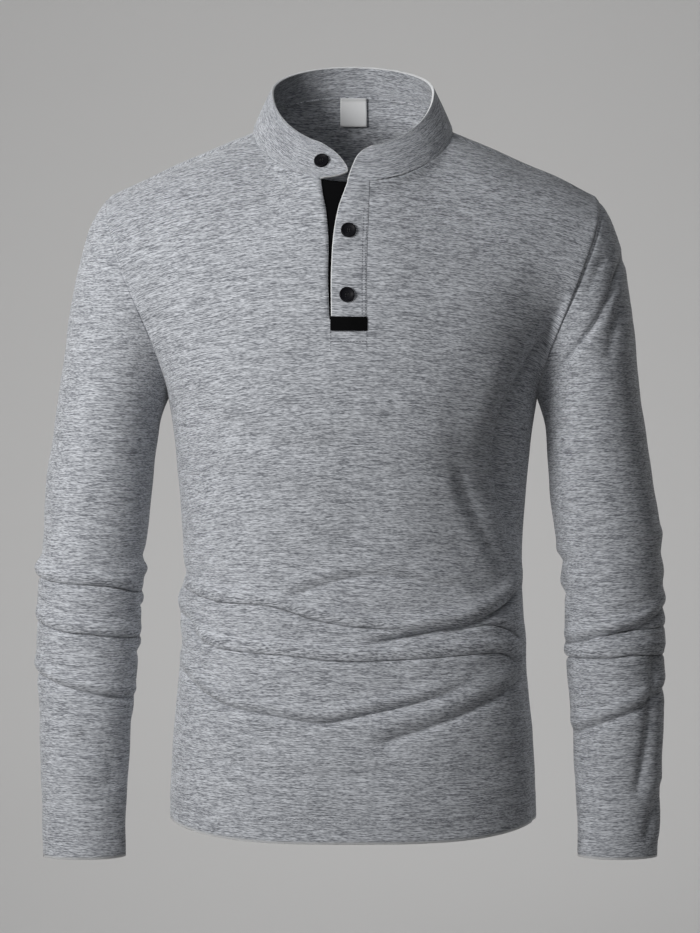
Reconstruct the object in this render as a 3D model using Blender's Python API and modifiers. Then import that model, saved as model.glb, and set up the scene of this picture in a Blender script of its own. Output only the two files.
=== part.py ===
"""Long-sleeved polo shirt with a stand collar and a three-button placket.

Frame: metres, +Z up, the front faces -Y, +X is the wearer's left.
Origin: middle of the neck opening, level with the inner ends of the shoulder seams.
Each sewn piece is a wall of cloth on a surface worked out from the sizes and short tables below.
"""
import bpy
import bmesh
import math
from collections import namedtuple
from mathutils import Vector

OBJECT_NAME = "polo_shirt"

# Cloth
BODY_WALL = 0.0015        # one layer of jersey
COLLAR_WALL = 0.0024      # two layers and an interlining
PLACKET_WALL = 0.0018     # strip folded double
FACING_WALL = 0.0010      # woven black facing
TAPE_WALL = 0.0008        # bar at the foot of the placket
LABEL_WALL = 0.0006
SEAM_GAP = 0.0003         # left between pieces that touch

# Body, from the hem to the armpits
FRONT = -1                # sides of the body, as the sign of their depth along Y
BACK = 1
BODY_ROUNDNESS = 2.4      # exponent of the body's cross-section, 2 is an ellipse
ARMPIT_Z = -0.264
HEM_MIDDLE_Z = -0.697
HEM_SIDE_RISE = 0.013     # the hem is this much higher at the side seams
HEM_RISE_POWER = 4

BodySection = namedtuple("BodySection", "z half_width front back")
BODY_SECTIONS = [
    BodySection(-0.700, 0.1815, 0.122, 0.125),
    BodySection(-0.650, 0.1810, 0.121, 0.124),
    BodySection(-0.600, 0.1780, 0.117, 0.119),
    BodySection(-0.540, 0.1730, 0.111, 0.110),
    BodySection(-0.480, 0.1695, 0.106, 0.102),
    BodySection(-0.430, 0.1680, 0.104, 0.098),
    BodySection(-0.370, 0.1715, 0.110, 0.101),
    BodySection(-0.310, 0.1770, 0.118, 0.109),
    BodySection(-0.264, 0.1840, 0.122, 0.116),
]

# Neck seam: an egg-shaped loop in a plane that falls towards the front
NECK_HALF_WIDTH = 0.098
NECK_FRONT = 0.095
NECK_BACK = 0.082
NECK_TILT = 0.59
NECK_DIP = 0.005          # the loop falls a little below its plane at front and back

# Shoulder seam, from the neck seam to the sleeve head
SHOULDER_ANGLE = math.radians(82.7)   # where it leaves the neck seam, from the front middle
SHOULDER_TIP = Vector((0.2445, -0.004, -0.0695))
SHOULDER_ARCH = 0.0025                # how far the seam bows up between its ends
SHOULDER_STATION = 5 / 13             # its share of the panel's width, from the middle outwards

# How each panel leaves the chest ring, in its middle and at its armhole.
# out, rise and spread are the pulls away from the body's middle plane, along Z and sideways.
ChestPull = namedtuple("ChestPull", "out rise spread")
CHEST_PULLS = {
    FRONT: (ChestPull(0.020, 0.200, 0.0), ChestPull(0.250, 0.100, 0.0)),
    BACK: (ChestPull(0.040, 0.250, 0.0), ChestPull(0.280, 0.100, 0.030)),
}
ARMHOLE_TURN = 4          # power with which the chest pull changes towards the armhole

# How each panel climbs (degrees) to its upper edge, at the neck's middle, at the inner end of the
# shoulder seam and at the shoulder tip, and how strongly it holds that direction.
TopPull = namedtuple("TopPull", "climb strength spread")
TOP_PULLS = {
    FRONT: (TopPull(69, 0.200, 0.0), TopPull(24, 0.290, 0.0), TopPull(19, 0.290, -0.020)),
    BACK: (TopPull(66, 0.295, 0.0), TopPull(-21, 0.420, 0.0), TopPull(-17, 0.310, -0.010)),
}
NECK_TURN = 2.2           # power with which the top pull changes from the neck's middle outwards

# Stand collar, above the neck seam
COLLAR_TOP_HALF_WIDTH = 0.0800
COLLAR_TOP_FRONT = 0.078
COLLAR_TOP_BACK = 0.070
COLLAR_TOP_Z = 0.0385     # the top edge at the sides of the neck
COLLAR_TOP_TILT = 0.67    # it falls towards the front
COLLAR_TOP_ARCH = 0.205   # and bends down from the sides of the neck, to the front and to the back
COLLAR_ARCH_SPAN = 0.015
COLLAR_FOOT_GAP = 0.0008  # the stand starts this far above the neck seam at front and back
COLLAR_SIDE_GAP = 0.0020  # and this far at the sides, where the shoulder's wall lies under it
COLLAR_BULGE = 0.0006
COLLAR_COLUMNS = 46
COLLAR_ROWS = 4

# Front ends of the collar, as sideways places along its height
TONGUE_TIP_X = -0.0049
TONGUE_TIP_HEIGHT = 0.30  # share of the collar's height
TONGUE_UPPER_REACH = 0.0195
TONGUE_UPPER_POWER = 1.6
TONGUE_CORNER = 0.007     # rounding where the end meets the top edge
TONGUE_LOWER_REACH = 0.026
TONGUE_LOWER_POWER = 1.8
OPEN_END_FOOT_X = -0.0055
OPEN_END_TOP_X = 0.0070
OPEN_END_POWER = 1.2
OPEN_END_CORNER = 0.011
CORNER_POWER = 9

# Placket, down the front
PLACKET_FOOT_Z = -0.2075
PLACKET_LIFT = 0.0006     # the strip stands this much proud of the front panel
FACING_OVERLAP = 0.005    # how far the facing runs on behind the panel
FACING_CLEARANCE = 0.0009
BAR_TOP_Z = -0.194
BAR_LEFT_X = -0.0217
BAR_RIGHT_X = 0.0134

STRIP_COLUMNS = 5
OVER_ROWS = 16
UNDER_ROWS = 14
BAR_COLUMNS = 6
BAR_ROWS = 2

PlacketSection = namedtuple("PlacketSection", "z panel_edge strip_edge strip_right")
PLACKET_SECTIONS = [
    PlacketSection(-0.2080, -0.0219, -0.0208, 0.0132),
    PlacketSection(-0.1800, -0.0232, -0.0211, 0.0132),
    PlacketSection(-0.1530, -0.0240, -0.0211, 0.0132),
    PlacketSection(-0.1180, -0.0236, -0.0192, 0.0140),
    PlacketSection(-0.0890, -0.0262, -0.0145, 0.0152),
    PlacketSection(-0.0745, -0.0290, -0.0097, 0.0156),
    PlacketSection(-0.0600, -0.0310, -0.0046, 0.0160),
]

# Sleeves, from just below the armpit to the cuff
SLEEVE_SIDES = {"sleeve_left": 1, "sleeve_right": -1}
SLEEVE_COLUMNS = 20
SLEEVE_CAP_ROWS = 9
SLEEVE_SEAM_GAP_TOP = 0.0005
SLEEVE_SEAM_GAP_UNDERARM = 0.0022
CAP_START_OUT_TOP = Vector((0.80, 0.0, -0.60))
CAP_START_OUT_UNDERARM = Vector((0.55, 0.0, -0.84))
CAP_START_PULL = 0.50     # pull at the armhole as a share of the cap's length there
CAP_END_PULL = 1.00

SleeveSection = namedtuple("SleeveSection", "z centre_x half_width centre_y half_depth")
SLEEVE_SECTIONS = {
    "sleeve_left": [
        SleeveSection(-0.723, 0.2630, 0.0390, -0.016, 0.029),
        SleeveSection(-0.660, 0.2638, 0.0415, -0.012, 0.034),
        SleeveSection(-0.590, 0.2635, 0.0445, -0.006, 0.041),
        SleeveSection(-0.510, 0.2620, 0.0490, 0.001, 0.048),
        SleeveSection(-0.450, 0.2605, 0.0495, 0.004, 0.052),
        SleeveSection(-0.400, 0.2545, 0.0520, 0.006, 0.055),
        SleeveSection(-0.350, 0.2485, 0.0510, 0.006, 0.058),
        SleeveSection(-0.300, 0.2430, 0.0490, 0.005, 0.061),
    ],
    "sleeve_right": [
        SleeveSection(-0.723, 0.2665, 0.0400, -0.016, 0.029),
        SleeveSection(-0.660, 0.2675, 0.0420, -0.012, 0.034),
        SleeveSection(-0.590, 0.2670, 0.0455, -0.006, 0.041),
        SleeveSection(-0.520, 0.2650, 0.0500, 0.001, 0.048),
        SleeveSection(-0.460, 0.2630, 0.0510, 0.004, 0.052),
        SleeveSection(-0.400, 0.2580, 0.0515, 0.006, 0.055),
        SleeveSection(-0.350, 0.2535, 0.0530, 0.006, 0.058),
        SleeveSection(-0.300, 0.2470, 0.0518, 0.005, 0.061),
    ],
}

# Folds: soft creases with a roll above each. They run across a panel from start to end (metres
# sideways) or round a sleeve (degrees from its outer side, towards the front), bowed through
# the height at their middle.
Fold = namedtuple("Fold", "start z_start z_middle end z_end width depth")
PANEL_FOLDS = {
    FRONT: [
        Fold(-0.172, -0.463, -0.474, 0.020, -0.496, 0.0085, 0.0062),
        Fold(0.040, -0.497, -0.489, 0.172, -0.464, 0.0085, 0.0062),
        Fold(-0.168, -0.503, -0.523, 0.170, -0.522, 0.0090, 0.0065),
        Fold(-0.172, -0.550, -0.583, 0.150, -0.550, 0.0100, 0.0060),
        Fold(0.040, -0.598, -0.580, 0.178, -0.550, 0.0080, 0.0035),
        Fold(-0.060, -0.452, -0.440, 0.110, -0.455, 0.0100, 0.0025),
    ],
    BACK: [
        Fold(-0.172, -0.463, -0.478, 0.120, -0.470, 0.0100, 0.0055),
        Fold(-0.100, -0.430, -0.424, 0.165, -0.440, 0.0100, 0.0040),
        Fold(-0.140, -0.520, -0.526, 0.172, -0.505, 0.0110, 0.0055),
        Fold(-0.165, -0.566, -0.574, 0.080, -0.580, 0.0110, 0.0035),
    ],
}
SLEEVE_FOLDS = {
    "sleeve_left": [
        Fold(20, -0.487, -0.505, 200, -0.520, 0.0075, 0.0045),
        Fold(-30, -0.524, -0.529, 165, -0.529, 0.0070, 0.0040),
        Fold(10, -0.569, -0.590, 170, -0.604, 0.0085, 0.0040),
        Fold(200, -0.452, -0.460, 350, -0.440, 0.0090, 0.0045),
        Fold(190, -0.540, -0.548, 330, -0.530, 0.0090, 0.0040),
    ],
    "sleeve_right": [
        Fold(-10, -0.450, -0.456, 170, -0.468, 0.0075, 0.0045),
        Fold(-20, -0.494, -0.502, 180, -0.510, 0.0075, 0.0045),
        Fold(-25, -0.548, -0.562, 175, -0.567, 0.0080, 0.0045),
        Fold(200, -0.472, -0.482, 345, -0.460, 0.0090, 0.0045),
        Fold(195, -0.535, -0.540, 335, -0.528, 0.0090, 0.0040),
    ],
}
FOLD_ROLL = 0.55          # height of the roll as a share of the crease's depth
FOLD_ROLL_PLACE = 1.7     # its distance above the crease, in crease widths
FOLD_END = 0.18           # share of a fold's length over which each end fades
PANEL_FOLD_FREE = 0.90    # folds fade out beyond this share of a panel's half width

# Wide hollows between chest and side seam, as ellipses on the front view
Hollow = namedtuple("Hollow", "x z reach_x reach_z depth")
PANEL_HOLLOWS = {
    FRONT: [
        Hollow(0.128, -0.345, 0.045, 0.050, 0.0090),
        Hollow(-0.132, -0.335, 0.040, 0.055, 0.0040),
    ],
    BACK: [
        Hollow(0.0, -0.260, 0.025, 0.120, 0.0050),
        Hollow(0.0, -0.430, 0.060, 0.060, 0.0040),
    ],
}

# Rows of each panel, as spans of height with a number of rows
RowSpan = namedtuple("RowSpan", "top_z rows")
FRONT_SPANS = [RowSpan(-0.610, 5), RowSpan(-0.430, 18), RowSpan(ARMPIT_Z, 8)]
BACK_SPANS = [RowSpan(-0.600, 4), RowSpan(-0.410, 13), RowSpan(ARMPIT_Z, 6)]
FRONT_ROWS_BELOW_PLACKET = 3
FRONT_ROWS_BESIDE_PLACKET = 11
BACK_YOKE_ROWS = 12
FRONT_COLUMN_SPANS = [7, 5, 2, 5, 7]   # side, chest, placket, chest, side
BACK_COLUMN_SPANS = [7, 12, 7]

SleeveSpan = namedtuple("SleeveSpan", "bottom_z rows")
SLEEVE_SPANS = [SleeveSpan(-0.430, 4), SleeveSpan(-0.620, 17), SleeveSpan(-0.723, 3)]

# Buttons, as a turned profile
BUTTON_RADIUS = 0.0073
BUTTON_THICKNESS = 0.0026
BUTTON_RIM = 0.0017
BUTTON_DISH = 0.0007
BUTTON_EDGE = 0.0005
BUTTON_STEPS = 24
PLACKET_BUTTONS = {"button_upper": (-0.0044, -0.111), "button_lower": (-0.0058, -0.173)}
COLLAR_BUTTON_X = -0.030
COLLAR_BUTTON_HEIGHT = 0.46

# Label inside the back neck
LABEL_LEFT_X = -0.0133
LABEL_RIGHT_X = 0.0146
LABEL_LENGTH = 0.0294
LABEL_CLEARANCE = 0.0018  # it hangs flat, this far inside the curved panel
LABEL_CELLS = 4

SHIRT_GREY = (0.315, 0.330, 0.355)
BLACK = (0.010, 0.010, 0.011)
BUTTON_BLACK = (0.006, 0.006, 0.008)
WHITE = (0.78, 0.79, 0.80)

NORMAL_STEP = 0.002       # step along a surface when its direction is measured
COLLAR_STEP = 0.02
BISECTIONS = 40
MERGE_DISTANCE = 0.00001


def lerp(start, end, share):
    return start + (end - start) * share


def smoothstep(low, high, value):
    share = min(1.0, max(0.0, (value - low) / (high - low)))
    return share * share * (3 - 2 * share)


def smooth_row(rows, z):
    """Values of a table at a height, on a smooth curve through its rows (sorted by z)."""
    count = len(rows)
    z = min(rows[-1].z, max(rows[0].z, z))
    index = next(i for i in range(count - 1) if z <= rows[i + 1].z)
    before = rows[max(0, index - 1)]
    low, high = rows[index], rows[index + 1]
    after = rows[min(count - 1, index + 2)]
    span = high.z - low.z
    share = (z - low.z) / span
    values = {}
    for name in low._fields[1:]:
        a, b, c, d = (getattr(row, name) for row in (before, low, high, after))
        slope_low = (c - a) / (high.z - before.z) * span
        slope_high = (d - b) / (after.z - low.z) * span
        values[name] = hermite(b, slope_low, c, slope_high, share)
    return low._replace(z=z, **values)


def hermite(start, start_pull, end, end_pull, share):
    """Point on the cubic that leaves start along start_pull and reaches end along end_pull."""
    square, cube = share ** 2, share ** 3
    return (
        start * (2 * cube - 3 * square + 1)
        + start_pull * (cube - 2 * square + share)
        + end * (3 * square - 2 * cube)
        + end_pull * (cube - square)
    )


def solve(function, low, high):
    """Where a rising function crosses zero."""
    for _ in range(BISECTIONS):
        middle = (low + high) / 2
        if function(middle) < 0:
            low = middle
        else:
            high = middle
    return (low + high) / 2


def station_x(half_width, station):
    """Sideways place of a panel's station: -1 and 1 are its side edges, 0 its middle."""
    return half_width * math.sin(math.pi / 2 * station)


def body_point(side, station, z):
    """Point on the body's ring at one height."""
    section = smooth_row(BODY_SECTIONS, z)
    share = abs(math.sin(math.pi / 2 * station))
    depth = section.front if side == FRONT else section.back
    bulge = max(0.0, 1 - share ** BODY_ROUNDNESS) ** (1 / BODY_ROUNDNESS)
    return Vector((station_x(section.half_width, station), side * depth * bulge, z))


def hem_height(station):
    share = abs(math.sin(math.pi / 2 * station))
    return HEM_MIDDLE_Z + HEM_SIDE_RISE * share ** HEM_RISE_POWER


def neck_point(angle):
    """Point on the neck seam: angle 0 is the front middle, a quarter turn the wearer's left."""
    depth = NECK_FRONT if math.cos(angle) > 0 else NECK_BACK
    y = -depth * math.cos(angle)
    z = NECK_TILT * y - NECK_DIP * (y / NECK_FRONT) ** 2
    return Vector((NECK_HALF_WIDTH * math.sin(angle), y, z))


def top_point(side, station):
    """Point on a panel's upper edge: neck seam in the middle, shoulder seams on both sides."""
    share = abs(station) / SHOULDER_STATION
    sign = math.copysign(1, station)
    if share <= 1:
        if side == FRONT:
            return neck_point(sign * share * SHOULDER_ANGLE)
        return neck_point(math.pi - sign * share * (math.pi - SHOULDER_ANGLE))
    along = (abs(station) - SHOULDER_STATION) / (1 - SHOULDER_STATION)
    inner = neck_point(SHOULDER_ANGLE)
    point = inner.lerp(SHOULDER_TIP, along)
    point.z += SHOULDER_ARCH * math.sin(math.pi * along)
    point.x *= sign
    return point


def mixed_row(near, far, share):
    """Row between two rows of a table."""
    return near._make(lerp(start, end, share) for start, end in zip(near, far))


def chest_pull(side, station):
    middle, armhole = CHEST_PULLS[side]
    pull = mixed_row(middle, armhole, abs(station) ** ARMHOLE_TURN)
    return Vector((math.copysign(pull.spread, station), side * pull.out, pull.rise))


def top_pull(side, station):
    middle, seam, tip = TOP_PULLS[side]
    share = abs(station) / SHOULDER_STATION
    if share < 1:
        pull = mixed_row(middle, seam, share ** NECK_TURN)
    else:
        pull = mixed_row(seam, tip, 1 - ((1 - abs(station)) / (1 - SHOULDER_STATION)) ** 2)
    climb = math.radians(pull.climb)
    inward = -side * pull.strength * math.cos(climb)
    return Vector((math.copysign(pull.spread, station), inward, pull.strength * math.sin(climb)))


def panel_point(side, station, level):
    """Point on a panel: level 0 is the hem, 1 the armpits and 2 the neck and shoulder seams."""
    if level <= 1:
        return body_point(side, station, lerp(hem_height(station), ARMPIT_Z, level))
    chest, top = body_point(side, station, ARMPIT_Z), top_point(side, station)
    return hermite(chest, chest_pull(side, station), top, top_pull(side, station), level - 1)


def surface_normal(place, u, v, step_u, step_v, outward):
    """Unit normal of the surface place(u, v), on the outward side."""
    along_u = place(u + step_u, v) - place(u - step_u, v)
    along_v = place(u, v + step_v) - place(u, v - step_v)
    normal = along_u.cross(along_v).normalized()
    return normal if normal.dot(outward) >= 0 else -normal


def fold_relief(folds, place, z):
    """Height of all folds at a place across (or round) the cloth and a height."""
    relief = 0.0
    for fold in folds:
        along = (place - fold.start) / (fold.end - fold.start)
        if not 0 < along < 1:
            continue
        bow = fold.z_middle - (fold.z_start + fold.z_end) / 2
        line = lerp(fold.z_start, fold.z_end, along) + bow * 4 * along * (1 - along)
        fade = smoothstep(0, FOLD_END, along) * smoothstep(0, FOLD_END, 1 - along)
        distance = (z - line) / fold.width
        crease = math.exp(-distance ** 2)
        roll = math.exp(-(distance - FOLD_ROLL_PLACE) ** 2)
        relief += fade * fold.depth * (FOLD_ROLL * roll - crease)
    return relief


def hollow_relief(hollows, x, z):
    """Height of all hollows at a place on the front view."""
    relief = 0.0
    for hollow in hollows:
        across, up = (x - hollow.x) / hollow.reach_x, (z - hollow.z) / hollow.reach_z
        relief -= hollow.depth * math.exp(-across ** 2 - up ** 2)
    return relief


def draped_point(side, station, level, out=0.0):
    """Point on the folded surface of a panel, moved out by a distance."""
    point = panel_point(side, station, level)
    inner_station = max(-1 + NORMAL_STEP, min(1 - NORMAL_STEP, station))
    inner_level = max(NORMAL_STEP, min(2 - NORMAL_STEP, level))

    def place(u, v):
        return panel_point(side, u, v)

    outward = Vector((point.x, point.y, 0))
    normal = surface_normal(place, inner_station, inner_level, NORMAL_STEP, NORMAL_STEP, outward)
    fade = 1 - smoothstep(PANEL_FOLD_FREE, 1, abs(station))
    relief = fold_relief(PANEL_FOLDS[side], point.x, point.z)
    relief += hollow_relief(PANEL_HOLLOWS[side], point.x, point.z)
    moved = point + normal * (relief * fade + out)
    moved.y += side * SEAM_GAP / 2
    return moved


def placket_edge(column, z):
    return getattr(smooth_row(PLACKET_SECTIONS, z), column)


def station_at_edge(edge, level):
    """Station of the front panel that meets a line x = edge(z) at a level."""

    def miss(station):
        point = panel_point(FRONT, station, level)
        return point.x - edge(point.z)

    return solve(miss, -SHOULDER_STATION, SHOULDER_STATION)


def level_at_height(side, station, z):
    return solve(lambda level: panel_point(side, station, level).z - z, 0, 2)


def panel_levels(side, spans):
    """Levels of a panel's rows up to the armpits."""
    levels = [0.0]
    bottom = HEM_MIDDLE_Z
    for span in spans:
        for row in range(1, span.rows + 1):
            z = lerp(bottom, span.top_z, row / span.rows)
            levels.append((z - HEM_MIDDLE_Z) / (ARMPIT_Z - HEM_MIDDLE_Z))
        bottom = span.top_z
    return levels


def spread_levels(levels, top, rows):
    """The levels with more rows added evenly up to a new top."""
    start = levels[-1]
    return levels + [lerp(start, top, row / rows) for row in range(1, rows + 1)]


def spread_stations(anchors, counts):
    """Stations spread evenly between anchors, with a count of columns in each span."""
    stations = [anchors[0]]
    for start, end, count in zip(anchors, anchors[1:], counts):
        stations += [lerp(start, end, step / count) for step in range(1, count + 1)]
    return stations


def grid_mesh(name, columns, rows, place, closed=False):
    """Open sheet of columns x rows faces; place(column, row) gives each point."""
    mesh = bpy.data.meshes.new(name)
    bm = bmesh.new()
    bmesh.ops.create_grid(bm, x_segments=columns, y_segments=rows, size=0.5)
    for vertex in bm.verts:
        column = round((vertex.co.x + 0.5) * columns)
        row = round((vertex.co.y + 0.5) * rows)
        vertex.co = place(column, row)
    if closed:
        bmesh.ops.remove_doubles(bm, verts=bm.verts, dist=MERGE_DISTANCE)
    bmesh.ops.recalc_face_normals(bm, faces=bm.faces)
    bm.to_mesh(mesh)
    bm.free()
    return mesh


def cut_faces(mesh, inside):
    """Removes the faces whose middle is inside a region."""
    bm = bmesh.new()
    bm.from_mesh(mesh)
    unwanted = [face for face in bm.faces if inside(face.calc_center_median())]
    bmesh.ops.delete(bm, geom=unwanted, context="FACES")
    bm.to_mesh(mesh)
    bm.free()


def make_material(name, colour, roughness, metallic=0.0):
    material = bpy.data.materials.new(name)
    material.use_nodes = True
    shader = material.node_tree.nodes["Principled BSDF"]
    shader.inputs["Base Color"].default_value = (*colour, 1)
    shader.inputs["Roughness"].default_value = roughness
    shader.inputs["Metallic"].default_value = metallic
    material.diffuse_color = (*colour, 1)
    return material


def add_piece(collection, name, mesh, material, wall=0.0):
    """Named object of one piece; an open sheet gets its wall thickness."""
    piece = bpy.data.objects.new(name, mesh)
    collection.objects.link(piece)
    mesh.materials.append(material)
    mesh.shade_smooth()
    if wall:
        solidify = piece.modifiers.new("wall", "SOLIDIFY")
        solidify.thickness = wall
        solidify.offset = 0
    return piece


def front_panel(collection, material):
    levels = panel_levels(FRONT, FRONT_SPANS)
    foot_level = level_at_height(FRONT, 0, PLACKET_FOOT_Z - SEAM_GAP)
    levels = spread_levels(levels, foot_level, FRONT_ROWS_BELOW_PLACKET)
    levels = spread_levels(levels, 2, FRONT_ROWS_BESIDE_PLACKET)
    columns = sum(FRONT_COLUMN_SPANS)

    def left_edge(z):
        return placket_edge("panel_edge", z)

    def right_edge(z):
        return placket_edge("strip_right", z) + SEAM_GAP

    def stations(level):
        edge_level = max(level, foot_level)
        left = station_at_edge(left_edge, edge_level)
        right = station_at_edge(right_edge, edge_level)
        anchors = [-1, -SHOULDER_STATION, left, right, SHOULDER_STATION, 1]
        return spread_stations(anchors, FRONT_COLUMN_SPANS)

    table = [stations(level) for level in levels]

    def place(column, row):
        return draped_point(FRONT, table[row][column], levels[row])

    mesh = grid_mesh("front", columns, len(levels) - 1, place)

    def in_placket(centre):
        beside = left_edge(centre.z) < centre.x < right_edge(centre.z)
        return beside and centre.z > PLACKET_FOOT_Z - SEAM_GAP

    cut_faces(mesh, in_placket)
    return add_piece(collection, "front", mesh, material, BODY_WALL)


def back_panel(collection, material):
    levels = spread_levels(panel_levels(BACK, BACK_SPANS), 2, BACK_YOKE_ROWS)
    stations = spread_stations([-1, -SHOULDER_STATION, SHOULDER_STATION, 1], BACK_COLUMN_SPANS)

    def place(column, row):
        return draped_point(BACK, stations[column], levels[row])

    mesh = grid_mesh("back", len(stations) - 1, len(levels) - 1, place)
    return add_piece(collection, "back", mesh, material, BODY_WALL)


def armhole_point(sign, turn):
    """Point on the armhole: turn 0 is the shoulder tip, 0.25 the front, 0.5 the armpit."""
    side, level = (FRONT, 2 - 2 * turn) if turn <= 0.5 else (BACK, 2 * turn)
    return panel_point(side, sign, level)


def sleeve_ring_point(name, sign, turn, z):
    section = smooth_row(SLEEVE_SECTIONS[name], z)
    angle = math.tau * turn
    x = sign * (section.centre_x + section.half_width * math.cos(angle))
    return Vector((x, section.centre_y - section.half_depth * math.sin(angle), z))


def sleeve_cap_point(name, sign, turn, share):
    """Point between the armhole and the first full ring of the sleeve."""
    under = (1 - math.cos(math.tau * turn)) / 2
    start = armhole_point(sign, turn)
    start.x += sign * lerp(SLEEVE_SEAM_GAP_TOP, SLEEVE_SEAM_GAP_UNDERARM, under)
    ring_z = SLEEVE_SECTIONS[name][-1].z
    end = sleeve_ring_point(name, sign, turn, ring_z)
    length = (end - start).length
    start_pull = CAP_START_OUT_TOP.lerp(CAP_START_OUT_UNDERARM, under) * length * CAP_START_PULL
    start_pull.x *= sign
    below = sleeve_ring_point(name, sign, turn, ring_z - NORMAL_STEP)
    end_pull = (below - end).normalized() * length * CAP_END_PULL
    return hermite(start, start_pull, end, end_pull, share)


def sleeve_point(name, sign, turn, share):
    """Point on the sleeve: share 0 is the armhole, 1 the first full ring, 2 the cuff."""
    if share <= 1:
        return sleeve_cap_point(name, sign, turn, share)
    sections = SLEEVE_SECTIONS[name]
    return sleeve_ring_point(name, sign, turn, lerp(sections[-1].z, sections[0].z, share - 1))


def sleeve(collection, name, material):
    sign = SLEEVE_SIDES[name]
    cuff_z, ring_z = SLEEVE_SECTIONS[name][0].z, SLEEVE_SECTIONS[name][-1].z
    shares = spread_levels([0.0], 1, SLEEVE_CAP_ROWS)
    top = ring_z
    for span in SLEEVE_SPANS:
        for row in range(1, span.rows + 1):
            z = lerp(top, span.bottom_z, row / span.rows)
            shares.append(1 + (z - ring_z) / (cuff_z - ring_z))
        top = span.bottom_z

    def draped(column, row):
        turn = (column % SLEEVE_COLUMNS) / SLEEVE_COLUMNS
        share = shares[row]
        point = sleeve_point(name, sign, turn, share)
        if share <= 1:
            return point
        angle = 360 * turn
        relief = fold_relief(SLEEVE_FOLDS[name], angle, point.z)
        relief += fold_relief(SLEEVE_FOLDS[name], angle - 360, point.z)
        section = smooth_row(SLEEVE_SECTIONS[name], point.z)
        axis = Vector((sign * section.centre_x, section.centre_y, point.z))
        return point + (point - axis).normalized() * relief

    mesh = grid_mesh(name, SLEEVE_COLUMNS, len(shares) - 1, draped, closed=True)
    return add_piece(collection, name, mesh, material, BODY_WALL)


def collar_top_point(angle):
    depth = COLLAR_TOP_FRONT if math.cos(angle) > 0 else COLLAR_TOP_BACK
    y = -depth * math.cos(angle)
    arch = COLLAR_TOP_ARCH * (math.hypot(y, COLLAR_ARCH_SPAN) - COLLAR_ARCH_SPAN)
    z = COLLAR_TOP_Z + COLLAR_TOP_TILT * y - arch
    return Vector((COLLAR_TOP_HALF_WIDTH * math.sin(angle), y, z))


def collar_point(angle, height):
    """Point on the stand collar: height 0 is the neck seam, 1 the top edge."""
    foot, top = neck_point(angle), collar_top_point(angle)
    upward = (top - foot).normalized()
    foot += upward * lerp(COLLAR_FOOT_GAP, COLLAR_SIDE_GAP, math.sin(angle) ** 2)
    point = foot.lerp(top, height)
    outward = Vector((math.sin(angle), -math.cos(angle), 0))
    return point + outward * COLLAR_BULGE * math.sin(math.pi * height)


def tongue_x(height):
    """Sideways place of the rounded button end at a share of the collar's height."""
    above = (height - TONGUE_TIP_HEIGHT) / (1 - TONGUE_TIP_HEIGHT)
    below = (TONGUE_TIP_HEIGHT - height) / TONGUE_TIP_HEIGHT
    if above > 0:
        side = TONGUE_UPPER_REACH * above ** TONGUE_UPPER_POWER
        return TONGUE_TIP_X - side - TONGUE_CORNER * above ** CORNER_POWER
    return TONGUE_TIP_X - TONGUE_LOWER_REACH * below ** TONGUE_LOWER_POWER


def open_end_x(height):
    """Sideways place of the open end, above the placket strip."""
    side = lerp(OPEN_END_FOOT_X, OPEN_END_TOP_X, height ** OPEN_END_POWER)
    return side + OPEN_END_CORNER * height ** CORNER_POWER


def collar(collection, material):

    def place(column, row):
        height = row / COLLAR_ROWS
        width = lerp(NECK_HALF_WIDTH, COLLAR_TOP_HALF_WIDTH, height)
        start = math.asin(open_end_x(height) / width)
        end = math.tau + math.asin(tongue_x(height) / width)
        return collar_point(lerp(start, end, column / COLLAR_COLUMNS), height)

    mesh = grid_mesh("collar", COLLAR_COLUMNS, COLLAR_ROWS, place)
    return add_piece(collection, "collar", mesh, material, COLLAR_WALL)


def placket_strip(collection, name, material, wall, edges, heights, columns, rows, out):
    """Strip on the front panel between two edges, from its lower to its upper height."""
    bottom_z, top_z = heights
    bottom = level_at_height(FRONT, 0, bottom_z)
    top = level_at_height(FRONT, 0, top_z) if top_z else 2
    levels = spread_levels([bottom], top, rows)
    ends = [[station_at_edge(edge, level) for edge in edges] for level in levels]

    def place(column, row):
        station = lerp(*ends[row], column / columns)
        return draped_point(FRONT, station, levels[row], out)

    mesh = grid_mesh(name, columns, rows, place)
    return add_piece(collection, name, mesh, material, wall)


def placket(collection, jersey, black):
    over_edges = (lambda z: placket_edge("strip_edge", z), lambda z: placket_edge("strip_right", z))
    placket_strip(collection, "placket_over", jersey, PLACKET_WALL, over_edges,
                  (PLACKET_FOOT_Z, None), STRIP_COLUMNS, OVER_ROWS, PLACKET_LIFT)
    under_edges = (lambda z: placket_edge("panel_edge", z) - FACING_OVERLAP,
                   lambda z: placket_edge("strip_right", z) + FACING_OVERLAP)
    facing_out = -(BODY_WALL / 2 + FACING_CLEARANCE + FACING_WALL / 2)
    placket_strip(collection, "placket_under", black, FACING_WALL, under_edges,
                  (PLACKET_FOOT_Z - FACING_OVERLAP, None), STRIP_COLUMNS, UNDER_ROWS, facing_out)
    bar_edges = (lambda z: BAR_LEFT_X, lambda z: BAR_RIGHT_X)
    bar_out = PLACKET_LIFT + PLACKET_WALL / 2 + SEAM_GAP + TAPE_WALL / 2
    placket_strip(collection, "placket_bar", black, TAPE_WALL, bar_edges,
                  (PLACKET_FOOT_Z, BAR_TOP_Z), BAR_COLUMNS, BAR_ROWS, bar_out)


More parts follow.
